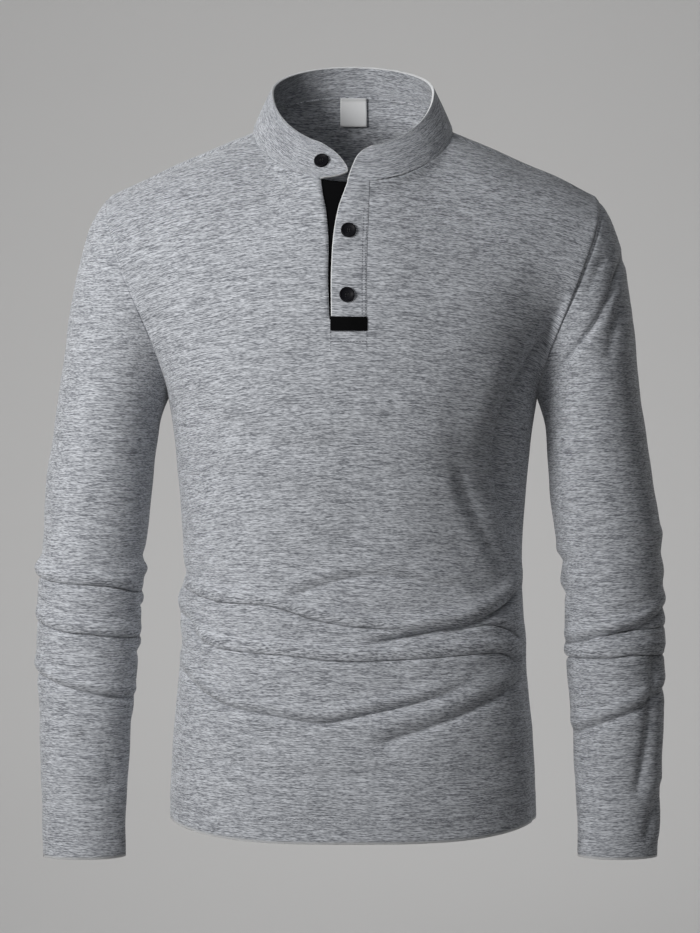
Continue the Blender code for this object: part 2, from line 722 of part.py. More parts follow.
def button_mesh():
    """Turned button: flat back, rounded edge, raised rim and dished middle, its back at z = 0."""
    radius, top = BUTTON_RADIUS, BUTTON_THICKNESS
    profile = [
        (0, top - BUTTON_DISH),
        (radius - BUTTON_RIM - BUTTON_EDGE, top - BUTTON_DISH),
        (radius - BUTTON_RIM, top),
        (radius - BUTTON_EDGE, top),
        (radius, top - BUTTON_EDGE),
        (radius, BUTTON_EDGE),
        (radius - BUTTON_EDGE, 0),
        (0, 0),
    ]
    mesh = bpy.data.meshes.new("button")
    bm = bmesh.new()
    points = [bm.verts.new((x, 0, z)) for x, z in profile]
    for start, end in zip(points, points[1:]):
        bm.edges.new((start, end))
    bm.to_mesh(mesh)
    bm.free()
    return mesh


def add_button(collection, name, material, place, normal, wall):
    piece = bpy.data.objects.new(name, button_mesh())
    collection.objects.link(piece)
    piece.data.materials.append(material)
    turn = piece.modifiers.new("turn", "SCREW")
    turn.steps = BUTTON_STEPS
    turn.render_steps = BUTTON_STEPS
    turn.use_merge_vertices = True
    turn.merge_threshold = MERGE_DISTANCE
    piece.location = place + normal * (wall / 2 + SEAM_GAP)
    piece.rotation_euler = normal.to_track_quat("Z", "Y").to_euler()
    return piece


def buttons(collection, material):
    for name, (x, z) in PLACKET_BUTTONS.items():
        level = level_at_height(FRONT, 0, z)
        station = station_at_edge(lambda _: x, level)
        place = draped_point(FRONT, station, level, PLACKET_LIFT)
        normal = (draped_point(FRONT, station, level, 1) - draped_point(FRONT, station, level)).normalized()
        add_button(collection, name, material, place, normal, PLACKET_WALL)
    height = COLLAR_BUTTON_HEIGHT
    angle = math.asin(COLLAR_BUTTON_X / lerp(NECK_HALF_WIDTH, COLLAR_TOP_HALF_WIDTH, height))
    outward = Vector((math.sin(angle), -math.cos(angle), 0))
    normal = surface_normal(collar_point, angle, height, COLLAR_STEP, COLLAR_STEP, outward)
    add_button(collection, "button_collar", material, collar_point(angle, height), normal, COLLAR_WALL)


def neck_label(collection, material):
    inward = -(BODY_WALL / 2 + LABEL_CLEARANCE + LABEL_WALL / 2)
    bottom = level_at_height(BACK, 0, top_point(BACK, 0).z - LABEL_LENGTH)

    def side_point(x, level):
        def miss(station):
            return panel_point(BACK, station, level).x - x

        station = solve(miss, -SHOULDER_STATION, SHOULDER_STATION)
        return draped_point(BACK, station, level, inward)

    def place(column, row):
        level = lerp(bottom, 2, row / LABEL_CELLS)
        left, right = side_point(LABEL_LEFT_X, level), side_point(LABEL_RIGHT_X, level)
        return left.lerp(right, column / LABEL_CELLS)

    mesh = grid_mesh("neck_label", LABEL_CELLS, LABEL_CELLS, place)
    return add_piece(collection, "neck_label", mesh, material, LABEL_WALL)


def main():
    for old in list(bpy.data.objects):
        bpy.data.objects.remove(old, do_unlink=True)
    collection = bpy.data.collections.new(OBJECT_NAME)
    bpy.context.scene.collection.children.link(collection)
    jersey = make_material("heather_grey_jersey", SHIRT_GREY, 0.9)
    black = make_material("black_facing", BLACK, 0.85)
    resin = make_material("black_resin", BUTTON_BLACK, 0.2)
    satin = make_material("white_label", WHITE, 0.6)
    front_panel(collection, jersey)
    back_panel(collection, jersey)
    for name in SLEEVE_SIDES:
        sleeve(collection, name, jersey)
    collar(collection, jersey)
    placket(collection, jersey, black)
    buttons(collection, resin)
    neck_label(collection, satin)


main()
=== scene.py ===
"""Looks of a long-sleeved jersey polo shirt with a stand collar, filled out as worn.

Frame: metres, +Z up, the front faces -Y, +X is the wearer's left. Every cloth piece is a thin shell
on the form of the solid that it stands for, with finer creases, seams and edges.
"""
import bpy
import bmesh
import math
import numpy as np
from collections import namedtuple
from mathutils import Matrix, Vector


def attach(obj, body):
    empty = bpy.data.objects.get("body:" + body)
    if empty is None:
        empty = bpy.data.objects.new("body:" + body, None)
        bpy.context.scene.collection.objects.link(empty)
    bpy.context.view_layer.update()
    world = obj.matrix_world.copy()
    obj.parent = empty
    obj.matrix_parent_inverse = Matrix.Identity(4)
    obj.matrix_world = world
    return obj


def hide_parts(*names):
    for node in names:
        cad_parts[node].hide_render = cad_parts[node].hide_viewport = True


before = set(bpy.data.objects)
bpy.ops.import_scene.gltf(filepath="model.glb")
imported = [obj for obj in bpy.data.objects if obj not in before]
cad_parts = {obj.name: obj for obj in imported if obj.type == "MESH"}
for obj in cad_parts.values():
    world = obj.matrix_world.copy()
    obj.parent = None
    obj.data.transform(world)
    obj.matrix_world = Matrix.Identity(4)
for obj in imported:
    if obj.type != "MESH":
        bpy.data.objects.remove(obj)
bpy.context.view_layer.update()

# ---------------------------------------------------------------- sizes of the garment
BODY_WALL = 0.0013
COLLAR_WALL = 0.0026
STRIP_WALL = 0.0016
FACING_WALL = 0.0009
TAPE_WALL = 0.0007
LABEL_WALL = 0.0004

FRONT, BACK = -1, 1
BODY_ROUNDNESS = 2.4
ARMPIT_Z = -0.264
HEM_MIDDLE_Z = -0.697
HEM_SIDE_RISE = 0.013
HEM_RISE_POWER = 4

BodySection = namedtuple("BodySection", "z half_width front back")
BODY_SECTIONS = [
    BodySection(-0.700, 0.1815, 0.122, 0.125),
    BodySection(-0.650, 0.1810, 0.121, 0.124),
    BodySection(-0.600, 0.1780, 0.117, 0.119),
    BodySection(-0.540, 0.1730, 0.111, 0.110),
    BodySection(-0.480, 0.1695, 0.106, 0.102),
    BodySection(-0.430, 0.1680, 0.104, 0.098),
    BodySection(-0.370, 0.1715, 0.110, 0.101),
    BodySection(-0.310, 0.1770, 0.118, 0.109),
    BodySection(-0.264, 0.1840, 0.122, 0.116),
]

NECK_HALF_WIDTH = 0.098
NECK_FRONT = 0.095
NECK_BACK = 0.082
NECK_TILT = 0.59
NECK_DIP = 0.005
SHOULDER_ANGLE = math.radians(82.7)
SHOULDER_TIP = np.array((0.2445, -0.004, -0.0695))
SHOULDER_ARCH = 0.0025
SHOULDER_STATION = 5 / 13

ChestPull = namedtuple("ChestPull", "out rise spread")
CHEST_PULLS = {
    FRONT: (ChestPull(0.020, 0.200, 0.0), ChestPull(0.250, 0.100, 0.0)),
    BACK: (ChestPull(0.040, 0.250, 0.0), ChestPull(0.280, 0.100, 0.030)),
}
ARMHOLE_TURN = 4
TopPull = namedtuple("TopPull", "climb strength spread")
TOP_PULLS = {
    FRONT: (TopPull(69, 0.200, 0.0), TopPull(24, 0.290, 0.0), TopPull(19, 0.290, -0.020)),
    BACK: (TopPull(66, 0.295, 0.0), TopPull(-21, 0.420, 0.0), TopPull(-17, 0.310, -0.010)),
}
NECK_TURN = 2.2

COLLAR_TOP_HALF_WIDTH = 0.0800
COLLAR_TOP_FRONT = 0.078
COLLAR_TOP_BACK = 0.070
COLLAR_TOP_Z = 0.0385
COLLAR_TOP_TILT = 0.67
COLLAR_TOP_ARCH = 0.205
COLLAR_ARCH_SPAN = 0.015
COLLAR_BULGE = 0.0006
TONGUE_TIP_X = -0.0049
TONGUE_TIP_HEIGHT = 0.30
TONGUE_UPPER_REACH = 0.0195
TONGUE_UPPER_POWER = 1.6
TONGUE_CORNER = 0.007
TONGUE_LOWER_REACH = 0.026
TONGUE_LOWER_POWER = 1.8
OPEN_END_FOOT_X = -0.0055
OPEN_END_TOP_X = 0.0070
OPEN_END_POWER = 1.2
OPEN_END_CORNER = 0.011
CORNER_POWER = 9

PLACKET_FOOT_Z = -0.2075
BAR_TOP_Z = -0.194
BAR_LEFT_X = -0.0217
BAR_RIGHT_X = 0.0134
PlacketSection = namedtuple("PlacketSection", "z panel_edge strip_edge strip_right")
PLACKET_SECTIONS = [
    PlacketSection(-0.2080, -0.0219, -0.0208, 0.0132),
    PlacketSection(-0.1800, -0.0232, -0.0211, 0.0132),
    PlacketSection(-0.1530, -0.0240, -0.0211, 0.0132),
    PlacketSection(-0.1180, -0.0236, -0.0192, 0.0140),
    PlacketSection(-0.0890, -0.0262, -0.0145, 0.0152),
    PlacketSection(-0.0745, -0.0290, -0.0097, 0.0156),
    PlacketSection(-0.0600, -0.0310, -0.0046, 0.0160),
]

SLEEVE_SIDES = {"sleeve_left": 1, "sleeve_right": -1}
CAP_START_OUT_TOP = np.array((0.80, 0.0, -0.60))
CAP_START_OUT_UNDERARM = np.array((0.55, 0.0, -0.84))
CAP_START_PULL = 0.50
CAP_END_PULL = 1.00
SleeveSection = namedtuple("SleeveSection", "z centre_x half_width centre_y half_depth")
SLEEVE_SECTIONS = {
    "sleeve_left": [
        SleeveSection(-0.723, 0.2630, 0.0390, -0.016, 0.029),
        SleeveSection(-0.660, 0.2638, 0.0415, -0.012, 0.034),
        SleeveSection(-0.590, 0.2635, 0.0445, -0.006, 0.041),
        SleeveSection(-0.510, 0.2620, 0.0490, 0.001, 0.048),
        SleeveSection(-0.450, 0.2605, 0.0495, 0.004, 0.052),
        SleeveSection(-0.400, 0.2545, 0.0520, 0.006, 0.055),
        SleeveSection(-0.350, 0.2485, 0.0510, 0.006, 0.058),
        SleeveSection(-0.300, 0.2430, 0.0490, 0.005, 0.061),
    ],
    "sleeve_right": [
        SleeveSection(-0.723, 0.2665, 0.0400, -0.016, 0.029),
        SleeveSection(-0.660, 0.2675, 0.0420, -0.012, 0.034),
        SleeveSection(-0.590, 0.2670, 0.0455, -0.006, 0.041),
        SleeveSection(-0.520, 0.2650, 0.0500, 0.001, 0.048),
        SleeveSection(-0.460, 0.2630, 0.0510, 0.004, 0.052),
        SleeveSection(-0.400, 0.2580, 0.0515, 0.006, 0.055),
        SleeveSection(-0.350, 0.2535, 0.0530, 0.006, 0.058),
        SleeveSection(-0.300, 0.2470, 0.0518, 0.005, 0.061),
    ],
}

BUTTON_RADIUS = 0.0073
BUTTON_THICKNESS = 0.0026
BUTTON_RIM = 0.0017
BUTTON_RIM_FALL = 0.7      # height of the rim's rounding, in half rims
BUTTON_DISH = 0.0008
BUTTON_DISH_EDGE = 1.35 * BUTTON_RIM
BUTTON_EDGE = 0.0006
BUTTON_HOLE = 0.00075
BUTTON_HOLE_PLACE = 0.0016
BUTTON_CUTTER = 0.010      # length of what cuts the holes
BUTTON_CLEARANCE = 0.0002
BUTTON_STEPS = 56
BUTTON_SHARP_ANGLE = math.radians(40)
THREAD_RADIUS = 0.00035
THREAD_LIFT = 0.6 * THREAD_RADIUS
PLACKET_BUTTONS = {"button_upper": (-0.0044, -0.111), "button_lower": (-0.0058, -0.173)}
COLLAR_BUTTON_X = -0.030
COLLAR_BUTTON_HEIGHT = 0.46

LABEL_LEFT_X = -0.0133
LABEL_RIGHT_X = 0.0146
LABEL_LENGTH = 0.0294
LABEL_CLEARANCE = 0.0020

# ---------------------------------------------------------------- edges, overlaps and stitches
COLLAR_TUCK = -0.03        # the band starts this share of its height below the neck seam
COLLAR_RIM = 0.0008
STRIP_RIM = 0.0006
TAPE_RIM = 0.0002
RIM_ANGLE = math.radians(60)
STRIP_COVER = 0.007        # the front panel runs on this far under the placket strip
STRIP_LIFT = BODY_WALL / 2 + STRIP_WALL / 2 + 0.0001
STRIP_SEAM_LIFT = 0.0003   # at its seam the strip lies almost level with the panel
FACING_DROP = BODY_WALL / 2 + FACING_WALL / 2 + 0.0004
FACING_OVERLAP = 0.005
OPENING_REACH = 0.04       # the opening behind the placket lies within this distance of the middle
LABEL_LEAN = 0.0012        # the label's foot hangs this far away from the back

Stitch = namedtuple("Stitch", "pitch length")
HEM_STITCH = Stitch(0.0034, 0.0026)
PLACKET_STITCH = Stitch(0.0030, 0.0022)
STITCH_RADIUS = 0.00038
HEM_RISES = (0.0200, 0.0235)    # the two rows of a twin-needle stitch, above the hem or cuff
HEM_REACH = 0.995          # station at which the hem's stitches end
SEAM_INSETS = (0.0016, 0.0048)    # rows of stitches beside the placket strip's seam
STITCH_TOP_Z = -0.088
BOX_FOOT_Z = -0.2265       # the stitches below the placket's foot make an open box
BOX_CROSS_Z = -0.2175
BOX_INSET = 0.0004

# ---------------------------------------------------------------- cells of the meshes
NEAR_SIDE = 0.965          # stations beyond which the columns are closer together
FRONT_COLUMNS = [6, 26, 21, 10, 21, 26, 6]
BACK_COLUMNS = [6, 26, 40, 26, 6]
BODY_ROWS = [(-0.600, 20), (-0.580, 18), (-0.435, 220), (ARMPIT_Z, 30)]
ARMPIT_ROW = sum(rows for _, rows in BODY_ROWS)
YOKE_ROWS = 62
NECK_ROWS = 6              # the last rows below the neck seam, closer together
NEAR_NECK = 1.96
FRONT_ROWS_BELOW_PLACKET = 14
SLEEVE_COLUMNS = 88
SLEEVE_ROWS = [(-0.430, 30), (-0.620, 210), (-0.723, 24)]
CAP_ROWS = [8, 34]
NEAR_ARMHOLE = 0.09        # share of the cap within which the rows are closer together
COLLAR_COLUMNS = 260
COLLAR_ROWS = 20
STRIP_CELLS = (16, 70)
FACING_CELLS = (14, 60)
TAPE_CELLS = (20, 8)
LABEL_CELLS = 16
HEM_POINTS = 300
CUFF_POINTS = 200
PLACKET_POINTS = 120
CROSS_POINTS = 40
STITCH_BLOCK = 20          # points of a line that are sewn in one go
FLOOR_STEPS = 96
MERGE_DISTANCE = 0.00001

# ---------------------------------------------------------------- yarn, finishes and the painted edge highlight
LEVEL_GRAIN = (0, 0.35, 1)  # the knit's rows stay nearly level where the columns of a grid lean
GRAIN_WIDTH = 0.16         # distance from the middle at which the rows sag by the next two
GRAIN_SAG_RIGHT = 0.016
GRAIN_SAG_LEFT = 0.010
GRAIN_SAG_HEIGHTS = (-0.50, -0.36)    # the sag sets in between these heights

# Noise of each kind of yarn, with its scales along, up and through the cloth. SWAY bends the others,
# by its weight in metres.
Yarn = namedtuple("Yarn", "scale detail roughness offset weight")
SWAY = Yarn((14, 30, 1), 1, 0.5, 7.0, 0.004)
YARNS = [
    Yarn((270, 1900, 1), 1, 0.5, 3.7, 0.45),
    Yarn((66, 1500, 1), 2, 0.7, 17.3, 0.50),
    Yarn((24, 60, 1), 2, 0.6, 11.1, 0.05),
]
STREAK_GAIN = 5.8
STREAK_SLIP = 3.1          # shifts the streaks along the cloth from row to row, so none line up
YARN_LIGHT = (0.590, 0.610, 0.650, 1)
YARN_DARK = (0.135, 0.143, 0.162, 1)
WALE_WIDTH = 0.0018
COURSE_HEIGHT = 0.0009
COURSE_RELIEF = 0.3
KNIT_RELIEF = 0.5
STREAK_RELIEF = 0.9
JERSEY_RELIEF = 0.00025    # the knit's and the streaks' shares above are of this height
JERSEY_RELIEF_STRENGTH = 0.6
# Painted highlight: a thin pale line along the collar's top and ends, the placket strip's open edge and the
# hem and cuffs, where the rolled edge catches light.
EDGE_HIGHLIGHT_COLOUR = (0.70, 0.71, 0.72, 1)
EDGE_HIGHLIGHT_WIDTH = 0.0008
EDGE_HIGHLIGHT_START = 1.8           # the painted highlight's mask before it is cut to 1, and its fall over the highlight's width
EDGE_HIGHLIGHT_FALL = 1.2
HEM_HIGHLIGHT_SPREAD = 0.45        # distances count for less at the hem and cuffs, whose painted edge highlight is wider

FACING_BLACK = (0.0035, 0.0035, 0.0040, 1)
FACING_THREAD = 0.0006
SATIN_WHITE = (0.86, 0.87, 0.88, 1)
SATIN_THREAD = 0.0004
RESIN_BLACK = (0.006, 0.006, 0.008, 1)
RESIN_ROUGHNESS = 0.5
RESIN_WEAR = 0.08
RESIN_GRAIN = 900
HEM_THREAD_GREY = (0.30, 0.31, 0.34, 1)
PLACKET_THREAD_GREY = (0.09, 0.095, 0.11, 1)
BUTTON_THREAD_BLACK = (0.012, 0.012, 0.013, 1)
THREAD_GRAIN = 2500
THREAD_RELIEF = 0.0001

# ---------------------------------------------------------------- studio
CAMERA_PLACE = (-0.003, -2.6, -0.3365)
FRAME_HEIGHT = 0.933       # height of the picture in the plane of the side seams
SENSOR = 36
FLOOR_Z = -1.55
FLOOR_RADIUS = 4.2
COVE_RADIUS = 5.0
FLOOR_PALE = (0.56, 0.555, 0.55, 1)
AIR_TINT = (0.9, 0.95, 1.0, 1)
AIR_STRENGTH = 0.02

Light = namedtuple("Light", "name place target size power tint")
WARM, COOL, WHITE = (1.0, 0.995, 0.985), (0.96, 0.975, 1.0), (1.0, 1.0, 1.0)
LIGHTS = [
    Light("key_light", (-1.1, -1.2, 0.15), (0.0, 0.0, -0.35), 0.7, 25, WARM),
    Light("fill_light", (0.35, -0.9, 2.0), (0.0, 0.0, -0.1), 0.9, 7.5, COOL),
    Light("front_light", (-0.45, -2.8, 0.7), (0.0, 0.0, -0.1), 0.8, 4.0, COOL),
    Light("back_light", (-1.6, 2.2, 1.6), (0.0, 0.0, -0.3), 1.2, 45, WHITE),
    Light("low_back_light", (2.0, 2.2, 0.2), (0.0, 0.0, -0.35), 1.2, 12, WHITE),
    Light("wall_light", (0.0, 3.6, 2.8), (0.0, 8.0, 0.6), 2.5, 184, WHITE),
    Light("front_wall_light", (0.0, -4.2, 2.8), (0.0, -8.6, 0.6), 2.5, 50, WHITE),
]

# ---------------------------------------------------------------- creases
# A crease follows a path of (x, z) points on the front view. Its valley is narrow, and a soft roll
# of cloth lies on the left of the path, which is above it where the path runs towards +X. The roll
# slumps down over the valley.
Crease = namedtuple("Crease", "width depth roll slump path")


def crease(width, depth, roll, slump, *path):
    """Crease from sizes and points in millimetres."""
    return Crease(*(size / 1000 for size in (width, depth, roll, slump)), np.array(path) / 1000)


PANEL_CREASES = {
    FRONT: [
        crease(1.9, 7.0, 2.8, 2.8,
               (-186, -452), (-160, -459), (-130, -467), (-81, -470), (-32, -484), (16, -491), (50, -493)),
        crease(6.0, 2.4, 1.6, 0.0,
               (-70, -467), (-48, -457), (-13, -446), (31, -441), (89, -451), (110, -458)),
        crease(6.2, 7.0, 3.8, 1.4,
               (10, -508), (31, -503), (71, -496), (112, -488), (149, -473), (168, -455), (180, -438)),
        crease(1.9, 5.2, 1.4, 1.6, (86, -497), (115, -492), (135, -490), (156, -497), (166, -508)),
        crease(1.9, 7.8, 3.0, 3.2,
               (-182, -476), (-163, -486), (-151, -502), (-126, -512), (-64, -517), (-9, -522), (61, -520),
               (135, -516), (156, -523), (165, -540)),
        crease(5.0, 4.8, 2.8, 0.8,
               (-188, -520), (-167, -540), (-130, -565), (-74, -576), (-32, -582), (12, -574), (78, -559),
               (125, -540)),
        crease(8.5, 4.8, 2.6, 0.0,
               (15, -606), (37, -598), (93, -580), (145, -558), (170, -544), (185, -530)),
        crease(1.6, 2.2, 0.2, 0.0,
               (166, -480), (168, -509), (170, -553), (174, -602), (177, -679), (178, -720)),
        crease(14.0, 11.8, 3.6, 0.0,
               (170, -440), (156, -385), (144, -335), (150, -290), (172, -245), (196, -205), (222, -160)),
        crease(6.6, 4.4, 2.0, 0.0, (150, -436), (132, -413), (110, -370), (96, -331)),
        crease(12.0, 2.6, 1.4, 0.0, (-165, -262), (-130, -292), (-70, -315), (0, -322)),
        crease(14.0, 2.2, 1.4, 0.0, (-150, -330), (-100, -352), (-40, -372), (20, -392)),
        crease(11.0, 2.0, 1.0, 0.0, (-160, -610), (-90, -628), (-10, -636), (60, -628)),
    ],
    BACK: [
        crease(2.4, 4.4, 2.6, 1.4,
               (-185, -452), (-150, -463), (-90, -474), (-20, -478), (60, -470), (110, -458)),
        crease(6.4, 3.4, 2.6, 0.0, (-100, -430), (-30, -421), (60, -428), (130, -442), (185, -438)),
        crease(2.2, 4.8, 2.8, 1.6,
               (-150, -514), (-80, -523), (10, -526), (90, -517), (150, -504), (185, -540)),
        crease(6.6, 3.6, 2.6, 0.0, (-185, -530), (-140, -560), (-60, -572), (30, -580), (90, -574)),
        crease(10.0, 3.0, 2.0, 0.0, (-10, -390), (50, -380), (110, -388)),
    ],
}
SLEEVE_CREASES = {
    "sleeve_left": {
        FRONT: [
            crease(3.2, 5.4, 1.0, 0.0,
                   (268, -120), (266, -133), (259, -150), (249, -174), (232, -202), (207, -234),
                   (196, -250)),
            crease(5.0, 1.8, 0.4, 0.0, (246, -130), (242, -139), (232, -160), (226, -172)),
            crease(7.0, 3.0, 0.6, 0.0, (262, -170), (260, -184), (253, -212), (248, -240)),
            crease(5.0, 4.2, 2.8, 0.6,
                   (190, -520), (210, -514), (239, -505), (283, -493), (309, -478), (330, -462)),
            crease(1.9, 3.6, 1.2, 0.8, (243, -504), (258, -500), (280, -497), (330, -495)),
            crease(1.9, 6.6, 2.6, 2.6, (190, -525), (209, -525), (250, -524), (282, -521), (330, -526)),
            crease(5.8, 3.8, 2.6, 0.0,
                   (195, -610), (214, -603), (239, -592), (282, -574), (303, -561), (325, -548)),
            crease(8.0, 5.0, 1.4, 0.0,
                   (303, -510), (300, -527), (294, -577), (287, -620), (281, -651), (278, -665)),
            crease(7.0, 3.6, 1.0, 0.0, (308, -648), (304, -661), (293, -685), (288, -712)),
        ],
        BACK: [
            crease(6.0, 3.8, 2.8, 0.0, (190, -470), (215, -462), (260, -448), (300, -452), (330, -462)),
            crease(2.4, 4.2, 2.6, 1.2, (190, -518), (230, -530), (275, -528), (330, -510)),
            crease(6.6, 3.2, 2.4, 0.0, (230, -585), (262, -572), (296, -560), (325, -548)),
        ],
    },
    "sleeve_right": {
        FRONT: [
            crease(2.1, 5.4, 2.6, 2.0,
                   (-330, -441), (-311, -446), (-287, -451), (-240, -454), (-207, -463), (-190, -470)),
            crease(1.9, 6.8, 2.8, 2.6,
                   (-330, -482), (-312, -490), (-287, -498), (-256, -501), (-209, -506), (-190, -507)),
            crease(4.6, 4.4, 2.6, 0.8,
                   (-330, -533), (-311, -543), (-287, -552), (-246, -562), (-214, -566), (-190, -567)),
            crease(11.0, 3.0, 1.2, 0.0, (-272, -596), (-258, -610), (-238, -628), (-240, -662)),
        ],
        BACK: [
            crease(2.4, 4.0, 2.6, 1.2,
                   (-330, -441), (-300, -452), (-258, -470), (-222, -476), (-190, -470)),
            crease(5.0, 3.8, 2.8, 0.0,
                   (-330, -508), (-296, -524), (-250, -532), (-212, -520), (-190, -507)),
            crease(7.0, 3.0, 2.2, 0.0, (-330, -560), (-290, -576), (-245, -590), (-215, -586)),
        ],
    },
}
CREASE_END = 0.22          # share of a crease over which each of its ends fades
CREASE_OPENING = 1.6       # a crease is this much wider again where it fades out
VALLEY_SHARPNESS = 1.9
VALLEY_ROUNDING = 0.05
ROLL_WIDTH = 0.0046        # least width that the roll beside a sharp crease is counted in
ROLL_PLACE = 1.7           # distance of the roll from the valley, in widths
ROLL_REACH = 1.2
SLUMP_PLACE = 0.7
SLUMP_REACH = 0.65
PATH_STEPS = 6

# Bumps where rolls of cloth cross the side seams and the edges of the sleeves: height out of the side
Bump = namedtuple("Bump", "z reach height")
SIDE_BUMPS = {
    1: [Bump(-0.446, 0.010, 0.0010), Bump(-0.508, 0.012, 0.0012)],
    -1: [Bump(-0.442, 0.009, -0.0028), Bump(-0.468, 0.013, 0.0052), Bump(-0.492, 0.010, 0.0014),
         Bump(-0.512, 0.009, -0.0016)],
}
SLEEVE_BUMPS = {
    "sleeve_left": {
        1: [Bump(-0.403, 0.008, 0.0024), Bump(-0.423, 0.006, -0.0012), Bump(-0.437, 0.008, 0.0010)],
        -1: [Bump(-0.420, 0.007, 0.0022), Bump(-0.430, 0.006, -0.0022), Bump(-0.446, 0.008, 0.0010)],
    },
    "sleeve_right": {
        1: [Bump(-0.422, 0.006, -0.0014), Bump(-0.435, 0.008, 0.0030), Bump(-0.530, 0.010, 0.0014)],
        -1: [Bump(-0.426, 0.007, -0.0022), Bump(-0.438, 0.007, 0.0036), Bump(-0.455, 0.007, -0.0008)],
    },
}

# Places where the body is less deep than its oval, as a share of its depth
Hollow = namedtuple("Hollow", "x z reach_x reach_z share")
PANEL_HOLLOWS = {
    FRONT: [
        Hollow(0.166, -0.345, 0.054, 0.066, 0.40),
        Hollow(0.182, -0.235, 0.030, 0.055, 0.26),
        Hollow(-0.160, -0.345, 0.050, 0.060, 0.10),
    ],
    BACK: [
        Hollow(0.0, -0.260, 0.025, 0.120, 0.045),
        Hollow(0.0, -0.430, 0.060, 0.060, 0.040),
    ],
}

SEAM_DIP = 0.0017          # the cloth sinks this far where two pieces are sewn together
SEAM_REACH = 0.0018
PANEL_SPAN = 0.30          # about the length of cloth for one station or one level
# Stations beside a point, and their weights, that soften the ridge below the corner of the neck
YOKE_SOFTENING = [(-0.14, 0.1), (-0.07, 0.25), (0.0, 0.3), (0.07, 0.25), (0.14, 0.1)]
SOFT_ABOVE_CHEST = 0.2     # shares of the yoke's height and width over which that softening sets in
SOFT_BELOW_SEAM = 0.1
SOFT_FROM_ARMHOLE = (0.05, 0.2)
CREASE_FREE = 0.93         # creases fade out beyond this station
SIDE_BUMP_START = 0.78     # bumps set in at this station
SLEEVE_BUMP_START = 0.55
SLEEVE_CREASE_START = 0.06    # share of the cap over which a sleeve's creases set in
ARMHOLE_LEVELS = (1.0, 1.1)   # levels between which a side seam turns into an armhole
ARMHOLE_DIP_SHARE = 0.03   # share of the cap at which it sinks deepest
CAP_SPAN = PANEL_SPAN / 2
SHOULDER_BLEND = 0.02      # stations over which the neck seam's dip turns into the shoulder seam's
SIDE_BLEND = 0.3           # a sleeve's front and back creases mix this far round its edges
# Slow waves that keep the cloth from looking moulded: a short one rides on a long one. Each is two
# sines multiplied, with their turn for each metre sideways and upwards and their share of the phase.
WAVE_HEIGHT = 0.0007
SHORT_WAVE_SHARE = 0.6
WAVES = [((37, 23, 1), (19, -47, 2)), ((71, -58, 3), (29, 83, 0))]
NORMAL_STEP = 0.002
BISECTIONS = 40


# ---------------------------------------------------------------- tables and curves
def lerp(start, end, share):
    return start + (end - start) * share


def smoothstep(low, high, value):
    share = np.clip((value - low) / (high - low), 0, 1)
    return share * share * (3 - 2 * share)


def hermite(start, start_pull, end, end_pull, share):
    """Points on the cubic that leaves start along start_pull and reaches end along end_pull."""
    square, cube = share ** 2, share ** 3
    return (
        start * (2 * cube - 3 * square + 1)
        + start_pull * (cube - 2 * square + share)
        + end * (3 * square - 2 * cube)
        + end_pull * (cube - square)
    )


def smooth_rows(rows, z):
    """Columns of a table at heights z, on smooth curves through its rows (sorted by z)."""
    heights = np.array([row.z for row in rows])
    z = np.clip(z, heights[0], heights[-1])
    low = np.clip(np.searchsorted(heights, z) - 1, 0, len(rows) - 2)
    before, high, after = np.maximum(low - 1, 0), low + 1, np.minimum(low + 2, len(rows) - 1)
    span = heights[high] - heights[low]
    share = (z - heights[low]) / span
    found = []
    for name in rows[0]._fields[1:]:
        values = np.array([getattr(row, name) for row in rows])
        slope_low = (values[high] - values[before]) / (heights[high] - heights[before]) * span
        slope_high = (values[after] - values[low]) / (heights[after] - heights[low]) * span
        found.append(hermite(values[low], slope_low, values[high], slope_high, share))
    return rows[0]._make([z, *found])


def solve(function, low, high):
    """Where a rising function of an array crosses zero."""
    for _ in range(BISECTIONS):
        middle = (low + high) / 2
        below = function(middle) < 0
        low = np.where(below, middle, low)
        high = np.where(below, high, middle)
    return (low + high) / 2


def points(x, y, z):
    return np.stack(np.broadcast_arrays(x, y, z), axis=-1).astype(float)


def unit(vectors):
    return vectors / np.linalg.norm(vectors, axis=-1, keepdims=True)


# ---------------------------------------------------------------- the body's surface
def body_points(side, station, z):
    section = smooth_rows(BODY_SECTIONS, z)
    share = np.abs(np.sin(math.pi / 2 * station))
    depth = section.front if side == FRONT else section.back
    bulge = np.maximum(0, 1 - share ** BODY_ROUNDNESS) ** (1 / BODY_ROUNDNESS)
    return points(section.half_width * np.sin(math.pi / 2 * station), side * depth * bulge, z)


def hem_height(station):
    share = np.abs(np.sin(math.pi / 2 * station))
    return HEM_MIDDLE_Z + HEM_SIDE_RISE * share ** HEM_RISE_POWER


def neck_points(angle):
    """Neck seam: angle 0 is the front middle, a quarter turn the wearer's left."""
    depth = np.where(np.cos(angle) > 0, NECK_FRONT, NECK_BACK)
    y = -depth * np.cos(angle)
    z = NECK_TILT * y - NECK_DIP * (y / NECK_FRONT) ** 2
    return points(NECK_HALF_WIDTH * np.sin(angle), y, z)


def top_points(side, station):
    """A panel's upper edge: neck seam in the middle, shoulder seams on both sides."""
    sign = np.where(station < 0, -1, 1)
    share = np.minimum(np.abs(station) / SHOULDER_STATION, 1)
    if side == FRONT:
        angle = sign * share * SHOULDER_ANGLE
    else:
        angle = math.pi - sign * share * (math.pi - SHOULDER_ANGLE)
    neck = neck_points(angle)
    along = np.maximum(0, (np.abs(station) - SHOULDER_STATION) / (1 - SHOULDER_STATION))
    tip = SHOULDER_TIP * points(sign, 1, 1)
    seam = neck + (tip - neck) * along[..., None]
    seam[..., 2] += SHOULDER_ARCH * np.sin(math.pi * along)
    return seam


def chest_pulls(side, station):
    middle, armhole = CHEST_PULLS[side]
    mix = np.abs(station) ** ARMHOLE_TURN
    out, rise, spread = (lerp(a, b, mix) for a, b in zip(middle, armhole))
    return points(np.sign(station) * spread, side * out, rise)


